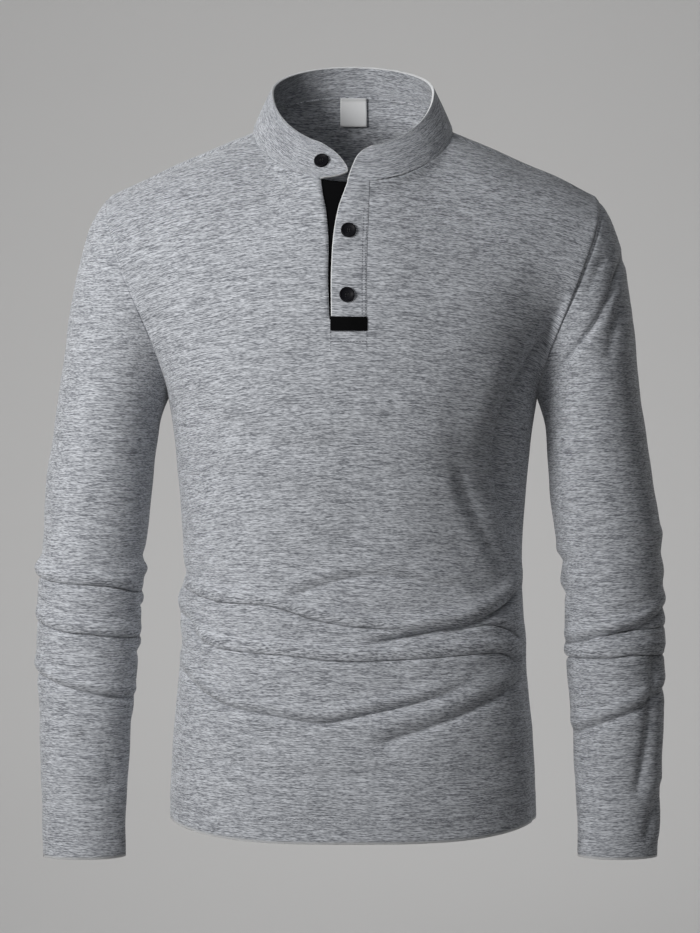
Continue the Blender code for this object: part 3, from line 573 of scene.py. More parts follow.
def top_pulls(side, station):
    middle, seam, tip = TOP_PULLS[side]
    inner = np.minimum(np.abs(station) / SHOULDER_STATION, 1) ** NECK_TURN
    outer = 1 - ((1 - np.maximum(np.abs(station), SHOULDER_STATION)) / (1 - SHOULDER_STATION)) ** 2
    climb, strength, spread = (lerp(lerp(a, b, inner), c, outer) for a, b, c in zip(middle, seam, tip))
    climb = np.radians(climb)
    return points(np.sign(station) * spread, -side * strength * np.cos(climb), strength * np.sin(climb))


def yoke_points(side, station, share):
    """Points between the armpits, at share 0, and the neck and shoulder seams, at share 1."""
    chest = body_points(side, station, ARMPIT_Z + 0 * station)
    return hermite(chest, chest_pulls(side, station), top_points(side, station),
                   top_pulls(side, station), share[..., None])


def panel_points(side, station, level):
    """A panel's plain surface, from station -1 at its -X edge to 1 at its +X edge.

    Level 0 is the hem, 1 the armpits, 2 the neck and shoulder seams."""
    station, level = np.broadcast_arrays(np.asarray(station, float), np.asarray(level, float))
    lower = body_points(side, station, lerp(hem_height(station), ARMPIT_Z, np.minimum(level, 1)))
    share = np.maximum(level - 1, 0)
    upper = yoke_points(side, station, share)
    around = sum(
        weight * yoke_points(side, np.clip(station + offset, -1, 1), share)
        for offset, weight in YOKE_SOFTENING
    )
    soft = (smoothstep(0, SOFT_ABOVE_CHEST, share) * smoothstep(0, SOFT_BELOW_SEAM, 1 - share)
            * smoothstep(*SOFT_FROM_ARMHOLE, 1 - np.abs(station)))
    upper = lerp(upper, around, soft[..., None])
    return np.where((level <= 1)[..., None], lower, upper)


# ---------------------------------------------------------------- creases on a surface
def smooth_path(path):
    """Points on a smooth curve through a crease's own points."""
    before = np.vstack([path[:1], path[:-1]])
    after = np.vstack([path[1:], path[-1:]])
    slope = (after - before) / 2
    share = np.linspace(0, 1, PATH_STEPS, endpoint=False)[:, None]
    spans = [
        hermite(path[i], slope[i], path[i + 1], slope[i + 1], share)
        for i in range(len(path) - 1)
    ]
    return np.vstack(spans + [path[-1:]])


def from_path(path, x, z):
    """Distance of each point from a path, positive on its left, and its place along it, 0 to 1."""
    start, run = path[:-1], path[1:] - path[:-1]
    across_x, across_z = x[..., None] - start[:, 0], z[..., None] - start[:, 1]
    along = np.clip((across_x * run[:, 0] + across_z * run[:, 1]) / (run ** 2).sum(axis=1), 0, 1)
    distance = np.hypot(across_x - along * run[:, 0], across_z - along * run[:, 1])
    nearest = distance.argmin(axis=-1)[..., None]
    left = run[:, 0] * across_z - run[:, 1] * across_x
    side = np.where(np.take_along_axis(left, nearest, -1) < 0, -1, 1)
    place = (nearest + np.take_along_axis(along, nearest, -1)) / len(run)
    return (side * np.take_along_axis(distance, nearest, -1))[..., 0], place[..., 0]


def crease_relief(creases, x, z):
    """How far creases move the cloth out, and how far they let it slump down."""
    relief, slump = np.zeros_like(x), np.zeros_like(x)
    for fold in creases:
        offset, place = from_path(smooth_path(fold.path), x, z)
        fade = smoothstep(0, CREASE_END, place) * smoothstep(0, CREASE_END, 1 - place)
        across = offset / (fold.width * (1 + CREASE_OPENING * (1 - fade)))
        from_valley = np.sqrt(across ** 2 + VALLEY_ROUNDING) - VALLEY_ROUNDING ** 0.5
        valley = np.exp(-VALLEY_SHARPNESS * from_valley)
        beside = offset / max(fold.width, ROLL_WIDTH)
        roll = np.exp(-((beside - ROLL_PLACE) / ROLL_REACH) ** 2)
        relief += fade * (fold.roll * roll - fold.depth * valley)
        slump += fade * fold.slump * np.exp(-((beside - SLUMP_PLACE) / SLUMP_REACH) ** 2)
    return relief, slump


def bump_height(bumps, z):
    return sum(bump.height * np.exp(-((z - bump.z) / bump.reach) ** 2) for bump in bumps)


def unevenness(x, z, phase):
    """Slow, slight waves that keep the cloth from looking moulded."""
    long_wave, short_wave = (
        np.prod([np.sin(sideways * x + up * z + part * phase) for sideways, up, part in sines], axis=0)
        for sines in WAVES
    )
    return WAVE_HEIGHT * (long_wave + SHORT_WAVE_SHARE * short_wave)


def surface_normals(place, u, v, outward):
    along_u = place(u + NORMAL_STEP, v) - place(u - NORMAL_STEP, v)
    along_v = place(u, v + NORMAL_STEP) - place(u, v - NORMAL_STEP)
    normal = unit(np.cross(along_u, along_v))
    facing = (normal * outward).sum(axis=-1, keepdims=True)
    return np.where(facing < 0, -normal, normal)


def panel_normals(side, station, level, base):
    inner_station = np.clip(station, -1 + NORMAL_STEP, 1 - NORMAL_STEP)
    inner_level = np.clip(level, NORMAL_STEP, 2 - NORMAL_STEP)
    outward = base * (1, 1, 0)
    return surface_normals(lambda u, v: panel_points(side, u, v), inner_station, inner_level, outward)


def draped_points(side, station, level, out=0.0):
    """A panel's surface with its creases, hollows and seams, moved out by a distance."""
    station, level = np.broadcast_arrays(np.asarray(station, float), np.asarray(level, float))
    base = panel_points(side, station, level)
    normal = panel_normals(side, station, level, base)
    x, z = base[..., 0], base[..., 2]
    edge = np.abs(station)
    relief, slump = crease_relief(PANEL_CREASES[side], x, z)
    free = 1 - smoothstep(CREASE_FREE, 1, edge)
    relief = (relief + unevenness(x, z, side)) * free
    from_side = (1 - edge) * PANEL_SPAN
    from_top = (2 - level) * PANEL_SPAN
    side_dip = SEAM_DIP * np.exp(-(from_side / SEAM_REACH) ** 2)
    top_dip = SEAM_DIP * np.exp(-(from_top / SEAM_REACH) ** 2)
    armhole = smoothstep(*ARMHOLE_LEVELS, level)
    shoulder = smoothstep(SHOULDER_STATION - SHOULDER_BLEND, SHOULDER_STATION + SHOULDER_BLEND, edge)
    relief = relief - side_dip * armhole - top_dip * (1 - shoulder)
    moved = base + normal * (relief + out)[..., None]
    flatter = sum(
        hollow.share * np.exp(-((x - hollow.x) / hollow.reach_x) ** 2
                              - ((z - hollow.z) / hollow.reach_z) ** 2)
        for hollow in PANEL_HOLLOWS[side]
    )
    moved[..., 1] -= base[..., 1] * flatter
    sign = np.where(station < 0, -1, 1)
    bumps = np.where(sign > 0, bump_height(SIDE_BUMPS[1], z), bump_height(SIDE_BUMPS[-1], z))
    moved[..., 0] += sign * (bumps * smoothstep(SIDE_BUMP_START, 1, edge) - side_dip * (1 - armhole))
    moved[..., 2] -= top_dip * shoulder + slump * free
    return moved


def placket_edge(column, shift=0.0):
    """One of the placket's edges, moved towards +X by a shift, as a function of height."""
    return lambda z: getattr(smooth_rows(PLACKET_SECTIONS, z), column) + shift


def upright(x):
    """An upright line as a function of height."""
    return lambda z: x + 0 * z


def station_at_edge(edge, level, side=FRONT):
    """Stations of a panel on a line x = edge(z), at an array of levels."""

    def miss(station):
        place = panel_points(side, station, level)
        return place[..., 0] - edge(place[..., 2])

    start = np.full(np.shape(level), -SHOULDER_STATION)
    return solve(miss, start, -start)


def level_at_height(side, z):
    """Level on a panel's middle line at a height."""
    found = solve(lambda level: panel_points(side, 0, level)[..., 2] - z, np.zeros(1), np.full(1, 2.0))
    return float(found[0])


# ---------------------------------------------------------------- sleeves
def sleeve_ends(name):
    """Heights of a sleeve's first full ring and of its cuff."""
    sections = SLEEVE_SECTIONS[name]
    return sections[-1].z, sections[0].z


def armhole_points(sign, turn):
    """Armhole: turn 0 is the shoulder tip, 0.25 the front, 0.5 the armpit."""
    front = draped_points(FRONT, sign, 2 - 2 * np.minimum(turn, 0.5))
    back = draped_points(BACK, sign, 2 * np.maximum(turn, 0.5))
    return np.where((turn <= 0.5)[..., None], front, back)


def sleeve_ring(name, turn, z):
    section = smooth_rows(SLEEVE_SECTIONS[name], z)
    angle = math.tau * turn
    x = SLEEVE_SIDES[name] * (section.centre_x + section.half_width * np.cos(angle))
    return points(x, section.centre_y - section.half_depth * np.sin(angle), z)


def sleeve_points(name, turn, share):
    """A sleeve's plain surface: share 0 is the armhole, 1 the first full ring, 2 the cuff."""
    sign = SLEEVE_SIDES[name]
    top_z, cuff_z = sleeve_ends(name)
    under = ((1 - np.cos(math.tau * turn)) / 2)[..., None]
    start = armhole_points(sign, turn)
    end = sleeve_ring(name, turn, top_z + 0 * turn)
    length = np.linalg.norm(end - start, axis=-1, keepdims=True)
    pull = lerp(CAP_START_OUT_TOP, CAP_START_OUT_UNDERARM, under) * (sign, 1, 1)
    below = sleeve_ring(name, turn, top_z - NORMAL_STEP + 0 * turn)
    cap = hermite(start, pull * length * CAP_START_PULL, end, unit(below - end) * length * CAP_END_PULL,
                  np.minimum(share, 1)[..., None])
    arm = sleeve_ring(name, turn, lerp(top_z, cuff_z, np.maximum(share - 1, 0)))
    return np.where((share <= 1)[..., None], cap, arm)


def draped_sleeve(name, turn, share, out=0.0):
    """A sleeve's surface with its creases, bumps and seam, moved out by a distance."""
    sign = SLEEVE_SIDES[name]
    turn, share = np.asarray(turn, float), np.asarray(share, float)
    base = sleeve_points(name, turn, share)
    section = smooth_rows(SLEEVE_SECTIONS[name], base[..., 2])
    axis = points(sign * section.centre_x, section.centre_y, base[..., 2])
    inner_share = np.clip(share, NORMAL_STEP, 2 - NORMAL_STEP)
    normal = surface_normals(lambda u, v: sleeve_points(name, u, v), turn, inner_share, base - axis)
    x, z = base[..., 0], base[..., 2]
    facing = np.sin(math.tau * turn)
    front = smoothstep(-SIDE_BLEND, SIDE_BLEND, facing)
    relief, slump = (
        lerp(behind, before, front)
        for before, behind in zip(crease_relief(SLEEVE_CREASES[name][FRONT], x, z),
                                  crease_relief(SLEEVE_CREASES[name][BACK], x, z))
    )
    relief += unevenness(x, z, 2 + sign)
    outer = np.cos(math.tau * turn)
    for way, bumps in SLEEVE_BUMPS[name].items():
        relief += bump_height(bumps, z) * smoothstep(SLEEVE_BUMP_START, 1, way * outer)
    clear = smoothstep(0, SLEEVE_CREASE_START, share)
    dip = SEAM_DIP * np.exp(-((share - ARMHOLE_DIP_SHARE) * CAP_SPAN / SEAM_REACH) ** 2)
    moved = base + normal * (relief * clear - dip * clear + out)[..., None]
    moved[..., 2] -= slump * clear
    return moved


# ---------------------------------------------------------------- collar
def collar_top(angle):
    depth = np.where(np.cos(angle) > 0, COLLAR_TOP_FRONT, COLLAR_TOP_BACK)
    y = -depth * np.cos(angle)
    arch = COLLAR_TOP_ARCH * (np.hypot(y, COLLAR_ARCH_SPAN) - COLLAR_ARCH_SPAN)
    return points(COLLAR_TOP_HALF_WIDTH * np.sin(angle), y, COLLAR_TOP_Z + COLLAR_TOP_TILT * y - arch)


def collar_points(angle, height):
    """Stand collar: height 0 is the neck seam, 1 the top edge."""
    angle, height = np.broadcast_arrays(np.asarray(angle, float), np.asarray(height, float))
    foot, top = neck_points(angle), collar_top(angle)
    outward = points(np.sin(angle), -np.cos(angle), 0)
    bulge = COLLAR_BULGE * np.sin(math.pi * np.clip(height, 0, 1))
    return foot + (top - foot) * height[..., None] + outward * bulge[..., None]


def tongue_x(height):
    """Sideways place of the rounded button end at a share of the collar's height."""
    above = np.maximum(0, height - TONGUE_TIP_HEIGHT) / (1 - TONGUE_TIP_HEIGHT)
    below = np.maximum(0, TONGUE_TIP_HEIGHT - height) / TONGUE_TIP_HEIGHT
    corner = TONGUE_CORNER * above ** CORNER_POWER
    return (TONGUE_TIP_X - TONGUE_UPPER_REACH * above ** TONGUE_UPPER_POWER - corner
            - TONGUE_LOWER_REACH * below ** TONGUE_LOWER_POWER)


def collar_ends(height):
    """Angles at which the band starts, at its open end, and stops, at its button end."""
    width = lerp(NECK_HALF_WIDTH, COLLAR_TOP_HALF_WIDTH, height)
    up = np.clip(height, 0, 1)
    corner = OPEN_END_CORNER * up ** CORNER_POWER
    open_x = lerp(OPEN_END_FOOT_X, OPEN_END_TOP_X, up ** OPEN_END_POWER) + corner
    return np.arcsin(open_x / width), math.tau + np.arcsin(tongue_x(height) / width)


# ---------------------------------------------------------------- meshes and pieces
def finished_mesh(name, bm):
    mesh = bpy.data.meshes.new(name)
    bm.to_mesh(mesh)
    bm.free()
    return mesh


def new_object(name, data):
    made = bpy.data.objects.new(name, data)
    bpy.context.scene.collection.objects.link(made)
    return made


def spun_mesh(name, profile, steps):
    """Mesh of a profile of (radius, height) points that is turned once about Z."""
    bm = bmesh.new()
    verts = [bm.verts.new((radius, 0, height)) for radius, height in profile]
    edges = [bm.edges.new(pair) for pair in zip(verts, verts[1:])]
    bmesh.ops.spin(bm, geom=verts + edges, axis=(0, 0, 1), cent=(0, 0, 0), angle=math.tau, steps=steps,
                   use_merge=True)
    bmesh.ops.remove_doubles(bm, verts=bm.verts, dist=MERGE_DISTANCE)
    bmesh.ops.recalc_face_normals(bm, faces=bm.faces)
    return finished_mesh(name, bm)


def run_lengths(grid, axis):
    """Length of cloth from the first row or column of a grid of points to each of its points."""
    steps = np.linalg.norm(np.diff(grid, axis=axis), axis=-1)
    start = np.zeros_like(np.take(steps, [0], axis=axis))
    return np.concatenate([start, np.cumsum(steps, axis=axis)], axis=axis)


def cloth_lengths(grid, middle=0, level=0, weights=(1, 1, 1)):
    """Lengths along and up the cloth in metres, from one column and one row of a grid of points.

    The weights say how much of each axis counts in the length up the cloth."""
    along, up = run_lengths(grid, 1), run_lengths(grid * weights, 0)
    return along - along[:, [middle]], up - up[[level]]


def set_uv(mesh, name, values):
    """UV map from one pair of values for each vertex."""
    layer = mesh.uv_layers.new(name=name)
    corner = np.empty(len(mesh.loops), np.int32)
    mesh.loops.foreach_get("vertex_index", corner)
    layer.uv.foreach_set("vector", values[corner].astype(np.float32).ravel())


def cloth_mesh(name, grid, lengths, edge=None, closed=False, cut=None):
    """Open sheet through a grid of points, rows by columns.

    The map "cloth" holds the lengths along and up the cloth in metres, and the map "edge" the
    distance in metres from the piece's edge that has a painted highlight. The faces whose middles cut picks
    are left out."""
    rows, columns = grid.shape[0] - 1, grid.shape[1] - 1
    along, up = lengths
    bm = bmesh.new()
    bmesh.ops.create_grid(bm, x_segments=columns, y_segments=rows, size=0.5)
    mesh = finished_mesh(name, bm)
    flat = np.empty(len(mesh.vertices) * 3)
    mesh.vertices.foreach_get("co", flat)
    column = np.rint((flat[0::3] + 0.5) * columns).astype(int)
    row = np.rint((flat[1::3] + 0.5) * rows).astype(int)
    mesh.vertices.foreach_set("co", grid[row, column].ravel())
    set_uv(mesh, "cloth", np.stack([along, up], axis=-1)[row, column])
    if edge is not None:
        set_uv(mesh, "edge", np.stack([edge, 0 * edge], axis=-1)[row, column])
    bm = bmesh.new()
    bm.from_mesh(mesh)
    if cut is not None:
        unwanted = [face for face in bm.faces if cut(face.calc_center_median())]
        bmesh.ops.delete(bm, geom=unwanted, context="FACES")
    if closed:
        bmesh.ops.remove_doubles(bm, verts=bm.verts, dist=MERGE_DISTANCE)
    bmesh.ops.recalc_face_normals(bm, faces=bm.faces)
    bm.to_mesh(mesh)
    bm.free()
    return mesh


def add_piece(name, mesh, material, node=None, wall=0.0, rim=0.0):
    """Piece of the shirt; an open sheet gets its wall, and a rim its rounding."""
    piece = new_object(name, mesh)
    mesh.materials.append(material)
    mesh.shade_smooth()
    if wall:
        solidify = piece.modifiers.new("wall", "SOLIDIFY")
        solidify.thickness = wall
        solidify.offset = 0
    if rim:
        bevel = piece.modifiers.new("rim", "BEVEL")
        bevel.width = rim
        bevel.segments = 2
        bevel.limit_method = "ANGLE"
        bevel.angle_limit = RIM_ANGLE
    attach(piece, "root")
    if node:
        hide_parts(node)
    return piece


def body_piece(node, grid, plain, middle, level, material, sag=0.0, **ways):
    """Panel or sleeve: its knit follows its plain surface, and its first row is a hem or cuff with a painted
    highlight.
    """
    along, up = cloth_lengths(plain, middle, level, LEVEL_GRAIN)
    # distance from the hem or cuff, where the painted edge highlight goes
    hem = run_lengths(grid, 0) * HEM_HIGHLIGHT_SPREAD
    mesh = cloth_mesh(node + "_cloth", grid, (along, up + sag), hem, **ways)
    return add_piece(node + "_cloth", mesh, material, node, BODY_WALL)


def small_piece(name, grid, material, node, wall, rim=0.0, edge=None, middle=0):
    """Piece whose knit or weave is counted from its first row and one of its columns."""
    mesh = cloth_mesh(name, grid, cloth_lengths(grid, middle), edge)
    return add_piece(name, mesh, material, node, wall, rim)


def spread(anchors, counts):
    """Places spread evenly between anchors, with a count of cells in each span."""
    found = [np.atleast_1d(anchors[0])[None]]
    for start, end, count in zip(anchors, anchors[1:], counts):
        share = np.arange(1, count + 1)[:, None] / count
        found.append(lerp(np.atleast_1d(start), np.atleast_1d(end), share))
    width = found[-1].shape[1]
    return np.concatenate([np.broadcast_to(part, (len(part), width)) for part in found])


def even(cells):
    """Places spread evenly from 0 to 1."""
    return np.linspace(0, 1, cells + 1)


# ---------------------------------------------------------------- materials
def new_group(name, inputs, outputs):
    """Shader node group with named sockets; returns it with its input and output nodes."""
    group = bpy.data.node_groups.new(name, "ShaderNodeTree")
    for label, kind, value in inputs:
        socket = group.interface.new_socket(label, in_out="INPUT", socket_type=kind)
        if value is not None:
            socket.default_value = value
    for label, kind in outputs:
        group.interface.new_socket(label, in_out="OUTPUT", socket_type=kind)
    return group, group.nodes.new("NodeGroupInput"), group.nodes.new("NodeGroupOutput")


def maths(group, operation, first, second=None, third=None, clamp=False):
    node = group.nodes.new("ShaderNodeMath")
    node.operation = operation
    node.use_clamp = clamp
    for index, value in enumerate((first, second, third)):
        if value is None:
            continue
        if isinstance(value, (int, float)):
            node.inputs[index].default_value = value
        else:
            group.links.new(value, node.inputs[index])
    return node.outputs[0]


def separate(group, vector):
    node = group.nodes.new("ShaderNodeSeparateXYZ")
    group.links.new(vector, node.inputs[0])
    return node.outputs


def mixed_colour(tree, factor, first, second):
    """Mix of a colour from a socket and one that is a socket or a constant."""
    node = tree.nodes.new("ShaderNodeMix")
    node.data_type = "RGBA"
    tree.links.new(factor, node.inputs["Factor"])
    tree.links.new(first, node.inputs["A"])
    if isinstance(second, tuple):
        node.inputs["B"].default_value = second
    else:
        tree.links.new(second, node.inputs["B"])
    return node.outputs["Result"]


def stretched_noise(group, vector, yarn):
    """Noise that is drawn out along the cloth by unlike scales along, up and through it."""
    mapping = group.nodes.new("ShaderNodeMapping")
    mapping.inputs["Scale"].default_value = yarn.scale
    mapping.inputs["Location"].default_value = (yarn.offset, yarn.offset, yarn.offset)
    noise = group.nodes.new("ShaderNodeTexNoise")
    noise.inputs["Scale"].default_value = 1
    noise.inputs["Detail"].default_value = yarn.detail
    noise.inputs["Roughness"].default_value = yarn.roughness
    group.links.new(vector, mapping.inputs["Vector"])
    group.links.new(mapping.outputs["Vector"], noise.inputs["Vector"])
    return noise.outputs["Fac"]


def heather_group():
    """Streaks of light and dark yarn along the cloth, and the relief of its knit stitches."""
    group, given, made = new_group(
        "heather_streaks",
        [("Cloth", "NodeSocketVector", None), ("Light", "NodeSocketColor", (0.5, 0.5, 0.5, 1)),
         ("Dark", "NodeSocketColor", (0.1, 0.1, 0.1, 1))],
        [("Colour", "NodeSocketColor"), ("Height", "NodeSocketFloat")],
    )
    cloth = given.outputs["Cloth"]
    along, up, _ = separate(group, cloth)
    swayed = group.nodes.new("ShaderNodeCombineXYZ")
    group.links.new(maths(group, "MULTIPLY_ADD", up, STREAK_SLIP, along), swayed.inputs["X"])
    sway = stretched_noise(group, cloth, SWAY)
    group.links.new(maths(group, "MULTIPLY_ADD", sway, SWAY.weight, up), swayed.inputs["Y"])
    total = 0.0
    for yarn in YARNS:
        noise = stretched_noise(group, swayed.outputs[0], yarn)
        total = maths(group, "MULTIPLY_ADD", noise, yarn.weight, total)
    centred = maths(group, "SUBTRACT", total, 0.5)
    light = maths(group, "MULTIPLY_ADD", centred, STREAK_GAIN, 0.5, clamp=True)
    colour = mixed_colour(group, light, given.outputs["Dark"], given.outputs["Light"])
    group.links.new(colour, made.inputs["Colour"])
    wales = maths(group, "SINE", maths(group, "MULTIPLY", along, math.tau / WALE_WIDTH))
    courses = maths(group, "SINE", maths(group, "MULTIPLY", up, math.tau / COURSE_HEIGHT))
    knit = maths(group, "MULTIPLY_ADD", courses, COURSE_RELIEF, maths(group, "ABSOLUTE", wales))
    height = maths(group, "MULTIPLY_ADD", light, STREAK_RELIEF, maths(group, "MULTIPLY", knit, KNIT_RELIEF))
    group.links.new(height, made.inputs["Height"])
    return group


def weave_group():
    """Plain weave of fine threads."""
    group, given, made = new_group(
        "plain_weave", [("Cloth", "NodeSocketVector", None), ("Thread", "NodeSocketFloat", FACING_THREAD)],
        [("Height", "NodeSocketFloat")],
    )
    turn = maths(group, "DIVIDE", math.pi, given.outputs["Thread"])
    warp, weft = (
        maths(group, "SINE", maths(group, "MULTIPLY", length, turn))
        for length in separate(group, given.outputs["Cloth"])[:2]
    )
    group.links.new(maths(group, "MULTIPLY", warp, weft), made.inputs["Height"])
    return group


def edge_highlight_group():
    """Mask of a narrow painted highlight along an edge, from the distance to it."""
    group, given, made = new_group(
        "painted_edge_highlight", [("Distance", "NodeSocketVector", None), ("Width", "NodeSocketFloat", EDGE_HIGHLIGHT_WIDTH)],
        [("Mask", "NodeSocketFloat")],
    )
    distance = separate(group, given.outputs["Distance"])["X"]
    share = maths(group, "DIVIDE", distance, given.outputs["Width"])
    highlight_mask = maths(group, "SUBTRACT", EDGE_HIGHLIGHT_START, maths(group, "MULTIPLY", share, EDGE_HIGHLIGHT_FALL), clamp=True)
    group.links.new(highlight_mask, made.inputs["Mask"])
    return group


def add_group(material, group, uv_name, socket):
    """Node of a group in a material, with one of the piece's UV maps in one of its sockets."""
    nodes = material.node_tree.nodes
    node = nodes.new("ShaderNodeGroup")
    node.node_tree = group
    uv_map = nodes.new("ShaderNodeUVMap")
    uv_map.uv_map = uv_name
    material.node_tree.links.new(uv_map.outputs["UV"], node.inputs[socket])
    return node


def new_material(name, roughness, **constants):
    material = bpy.data.materials.new(name)
    material.use_nodes = True
    shader = material.node_tree.nodes["Principled BSDF"]
    shader.inputs["Roughness"].default_value = roughness
    for socket, value in constants.items():
        shader.inputs[socket.replace("_", " ")].default_value = value
    return material, shader


def add_bump(material, shader, height, distance, strength=1.0):
    bump = material.node_tree.nodes.new("ShaderNodeBump")
    bump.inputs["Distance"].default_value = distance
    bump.inputs["Strength"].default_value = strength
    material.node_tree.links.new(height, bump.inputs["Height"])
    material.node_tree.links.new(bump.outputs["Normal"], shader.inputs["Normal"])


def object_noise(material, scale, detail):
    nodes, links = material.node_tree.nodes, material.node_tree.links
    noise = nodes.new("ShaderNodeTexNoise")
    noise.inputs["Scale"].default_value = scale
    noise.inputs["Detail"].default_value = detail
    links.new(nodes.new("ShaderNodeTexCoord").outputs["Object"], noise.inputs["Vector"])
    return noise.outputs["Fac"]


def jersey_material(name, heather, edge):
    material, shader = new_material(name, 0.92, Sheen_Weight=0.22, Sheen_Roughness=0.45)
    streaks = add_group(material, heather, "cloth", "Cloth")
    streaks.inputs["Light"].default_value = YARN_LIGHT
    streaks.inputs["Dark"].default_value = YARN_DARK
    highlight_mask = add_group(material, edge, "edge", "Distance")
    tree = material.node_tree
    # the pale line along the edge is a painted highlight, where the rolled edge catches light
    colour = mixed_colour(tree, highlight_mask.outputs["Mask"], streaks.outputs["Colour"], EDGE_HIGHLIGHT_COLOUR)
    tree.links.new(colour, shader.inputs["Base Color"])
    add_bump(material, shader, streaks.outputs["Height"], JERSEY_RELIEF, JERSEY_RELIEF_STRENGTH)
    return material


def woven_material(name, weave, colour, thread, roughness, sheen, specular):
    material, shader = new_material(name, roughness, Sheen_Weight=sheen, Base_Color=colour,
                                    Specular_IOR_Level=specular)
    threads = add_group(material, weave, "cloth", "Cloth")
    threads.inputs["Thread"].default_value = thread
    add_bump(material, shader, threads.outputs["Height"], thread / 4)
    return material


def resin_material():
    material, shader = new_material("black_resin", RESIN_ROUGHNESS, Coat_Weight=0.03, Coat_Roughness=0.2,
                                    Specular_IOR_Level=0.07, Base_Color=RESIN_BLACK)
    ramp = material.node_tree.nodes.new("ShaderNodeMapRange")
    ramp.inputs["To Min"].default_value = RESIN_ROUGHNESS - RESIN_WEAR
    ramp.inputs["To Max"].default_value = RESIN_ROUGHNESS + RESIN_WEAR
    links = material.node_tree.links
    links.new(object_noise(material, RESIN_GRAIN, 3), ramp.inputs["Value"])
    links.new(ramp.outputs["Result"], shader.inputs["Roughness"])
    return material


def thread_material(name, colour):
    material, shader = new_material(name, 0.75, Sheen_Weight=0.2, Base_Color=colour)
    add_bump(material, shader, object_noise(material, THREAD_GRAIN, 2), THREAD_RELIEF)
    return material


# ---------------------------------------------------------------- body panels and sleeves
def panel_levels(anchors, rows):
    """Levels of a panel's rows: as BODY_ROWS says up to the armpits, then between anchors."""
    heights = [HEM_MIDDLE_Z, *(z for z, _ in BODY_ROWS)]
    below = [(z - HEM_MIDDLE_Z) / (ARMPIT_Z - HEM_MIDDLE_Z) for z in heights]
    return np.concatenate([
        spread(below, [count for _, count in BODY_ROWS])[:, 0],
        spread([1.0, *anchors], rows)[1:, 0],
    ])


def grain_sag(grid):
    """The streaks hang lower towards the sides of the chest, more so on the wearer's right."""
    sag = np.where(grid[..., 0] < 0, GRAIN_SAG_RIGHT, GRAIN_SAG_LEFT)
    return (grid[..., 0] / GRAIN_WIDTH) ** 2 * sag * smoothstep(*GRAIN_SAG_HEIGHTS, grid[..., 2])


def front_cloth(material):
    foot_level = level_at_height(FRONT, PLACKET_FOOT_Z)
    rows = [FRONT_ROWS_BELOW_PLACKET, YOKE_ROWS - FRONT_ROWS_BELOW_PLACKET - NECK_ROWS, NECK_ROWS]
    levels = panel_levels([foot_level, NEAR_NECK, 2.0], rows)
    left_edge = placket_edge("panel_edge")
    right_edge = placket_edge("strip_right", -STRIP_COVER)
    left, right = (station_at_edge(edge, np.maximum(levels, foot_level)) for edge in (left_edge, right_edge))
    anchors = [-1, -NEAR_SIDE, -SHOULDER_STATION, left, right, SHOULDER_STATION, NEAR_SIDE, 1]
    stations = spread([np.broadcast_to(anchor, left.shape) for anchor in anchors], FRONT_COLUMNS).T
    grid = draped_points(FRONT, stations, levels[:, None])
    foot_z = grid[np.argmin(np.abs(levels - foot_level)), :, 2].max()

    def in_opening(centre):
        if centre.z < foot_z or abs(centre.x) > OPENING_REACH:
            return False
        z = np.array(centre.z)
        return left_edge(z) < centre.x < right_edge(z)

    plain = panel_points(FRONT, stations, levels[:, None])
    return body_piece("front", grid, plain, sum(FRONT_COLUMNS) // 2, ARMPIT_ROW, material,
                      grain_sag(grid), cut=in_opening)


def back_cloth(material):
    levels = panel_levels([NEAR_NECK, 2.0], [YOKE_ROWS - NECK_ROWS, NECK_ROWS])
    anchors = [-1, -NEAR_SIDE, -SHOULDER_STATION, SHOULDER_STATION, NEAR_SIDE, 1]
    stations = spread(anchors, BACK_COLUMNS).T
    grid, plain = (place(BACK, stations, levels[:, None]) for place in (draped_points, panel_points))
    return body_piece("back", grid, plain, sum(BACK_COLUMNS) // 2, ARMPIT_ROW, material)


def sleeve_cloth(name, material):
    top_z, cuff_z = sleeve_ends(name)
    anchors = [1.0, *(1 + (z - top_z) / (cuff_z - top_z) for z, _ in SLEEVE_ROWS)]
    lower = spread(anchors, [rows for _, rows in SLEEVE_ROWS])[:, 0]
    shares = np.concatenate([spread([0.0, NEAR_ARMHOLE, 1.0], CAP_ROWS)[:-1, 0], lower])
    turns = np.arange(SLEEVE_COLUMNS + 1) / SLEEVE_COLUMNS
    turns[-1] = 0
    grid, plain = (
        place(name, turns[None, :], shares[:, None])[::-1]
        for place in (draped_sleeve, sleeve_points)
    )
    return body_piece(name, grid, plain, SLEEVE_COLUMNS // 4, len(lower) - 1, material, closed=True)


# ---------------------------------------------------------------- collar, placket and label
def collar_band(material):
    heights = np.linspace(COLLAR_TUCK, 1, COLLAR_ROWS + 1)[:, None]
    start, end = collar_ends(np.maximum(heights, 0))
    grid = collar_points(lerp(start, end, even(COLLAR_COLUMNS)[None, :]), heights)
    along, up = run_lengths(grid, 1), run_lengths(grid, 0)
    # distance from the collar's top and ends, which get the painted edge highlight
    edge = np.minimum.reduce([up[-1:] - up, along, along[:, -1:] - along])
    return small_piece("collar_band", grid, material, "collar", COLLAR_WALL, COLLAR_RIM, edge,
                       COLLAR_COLUMNS // 2)


def strip_lift(share):
    """Distance of the placket strip from the panel, at a share of its width from its open edge."""
    return lerp(STRIP_LIFT, STRIP_SEAM_LIFT, smoothstep(0.5, 1, share))


def front_strip(edges, heights, columns, rows, out):
    """Grid of points of a strip on the front panel between two edges, from a height up to another.

    Without an upper height it ends at the neck seam. It lies out of the panel by a distance that
    is a function of the share of its width."""
    bottom = level_at_height(FRONT, heights[0])
    top = level_at_height(FRONT, heights[1]) if heights[1] else 2.0
    levels = np.linspace(bottom, top, rows + 1)
    left, right = (station_at_edge(edge, levels)[:, None] for edge in edges)
    share = even(columns)[None, :]
    return draped_points(FRONT, lerp(left, right, share), levels[:, None], out(share))


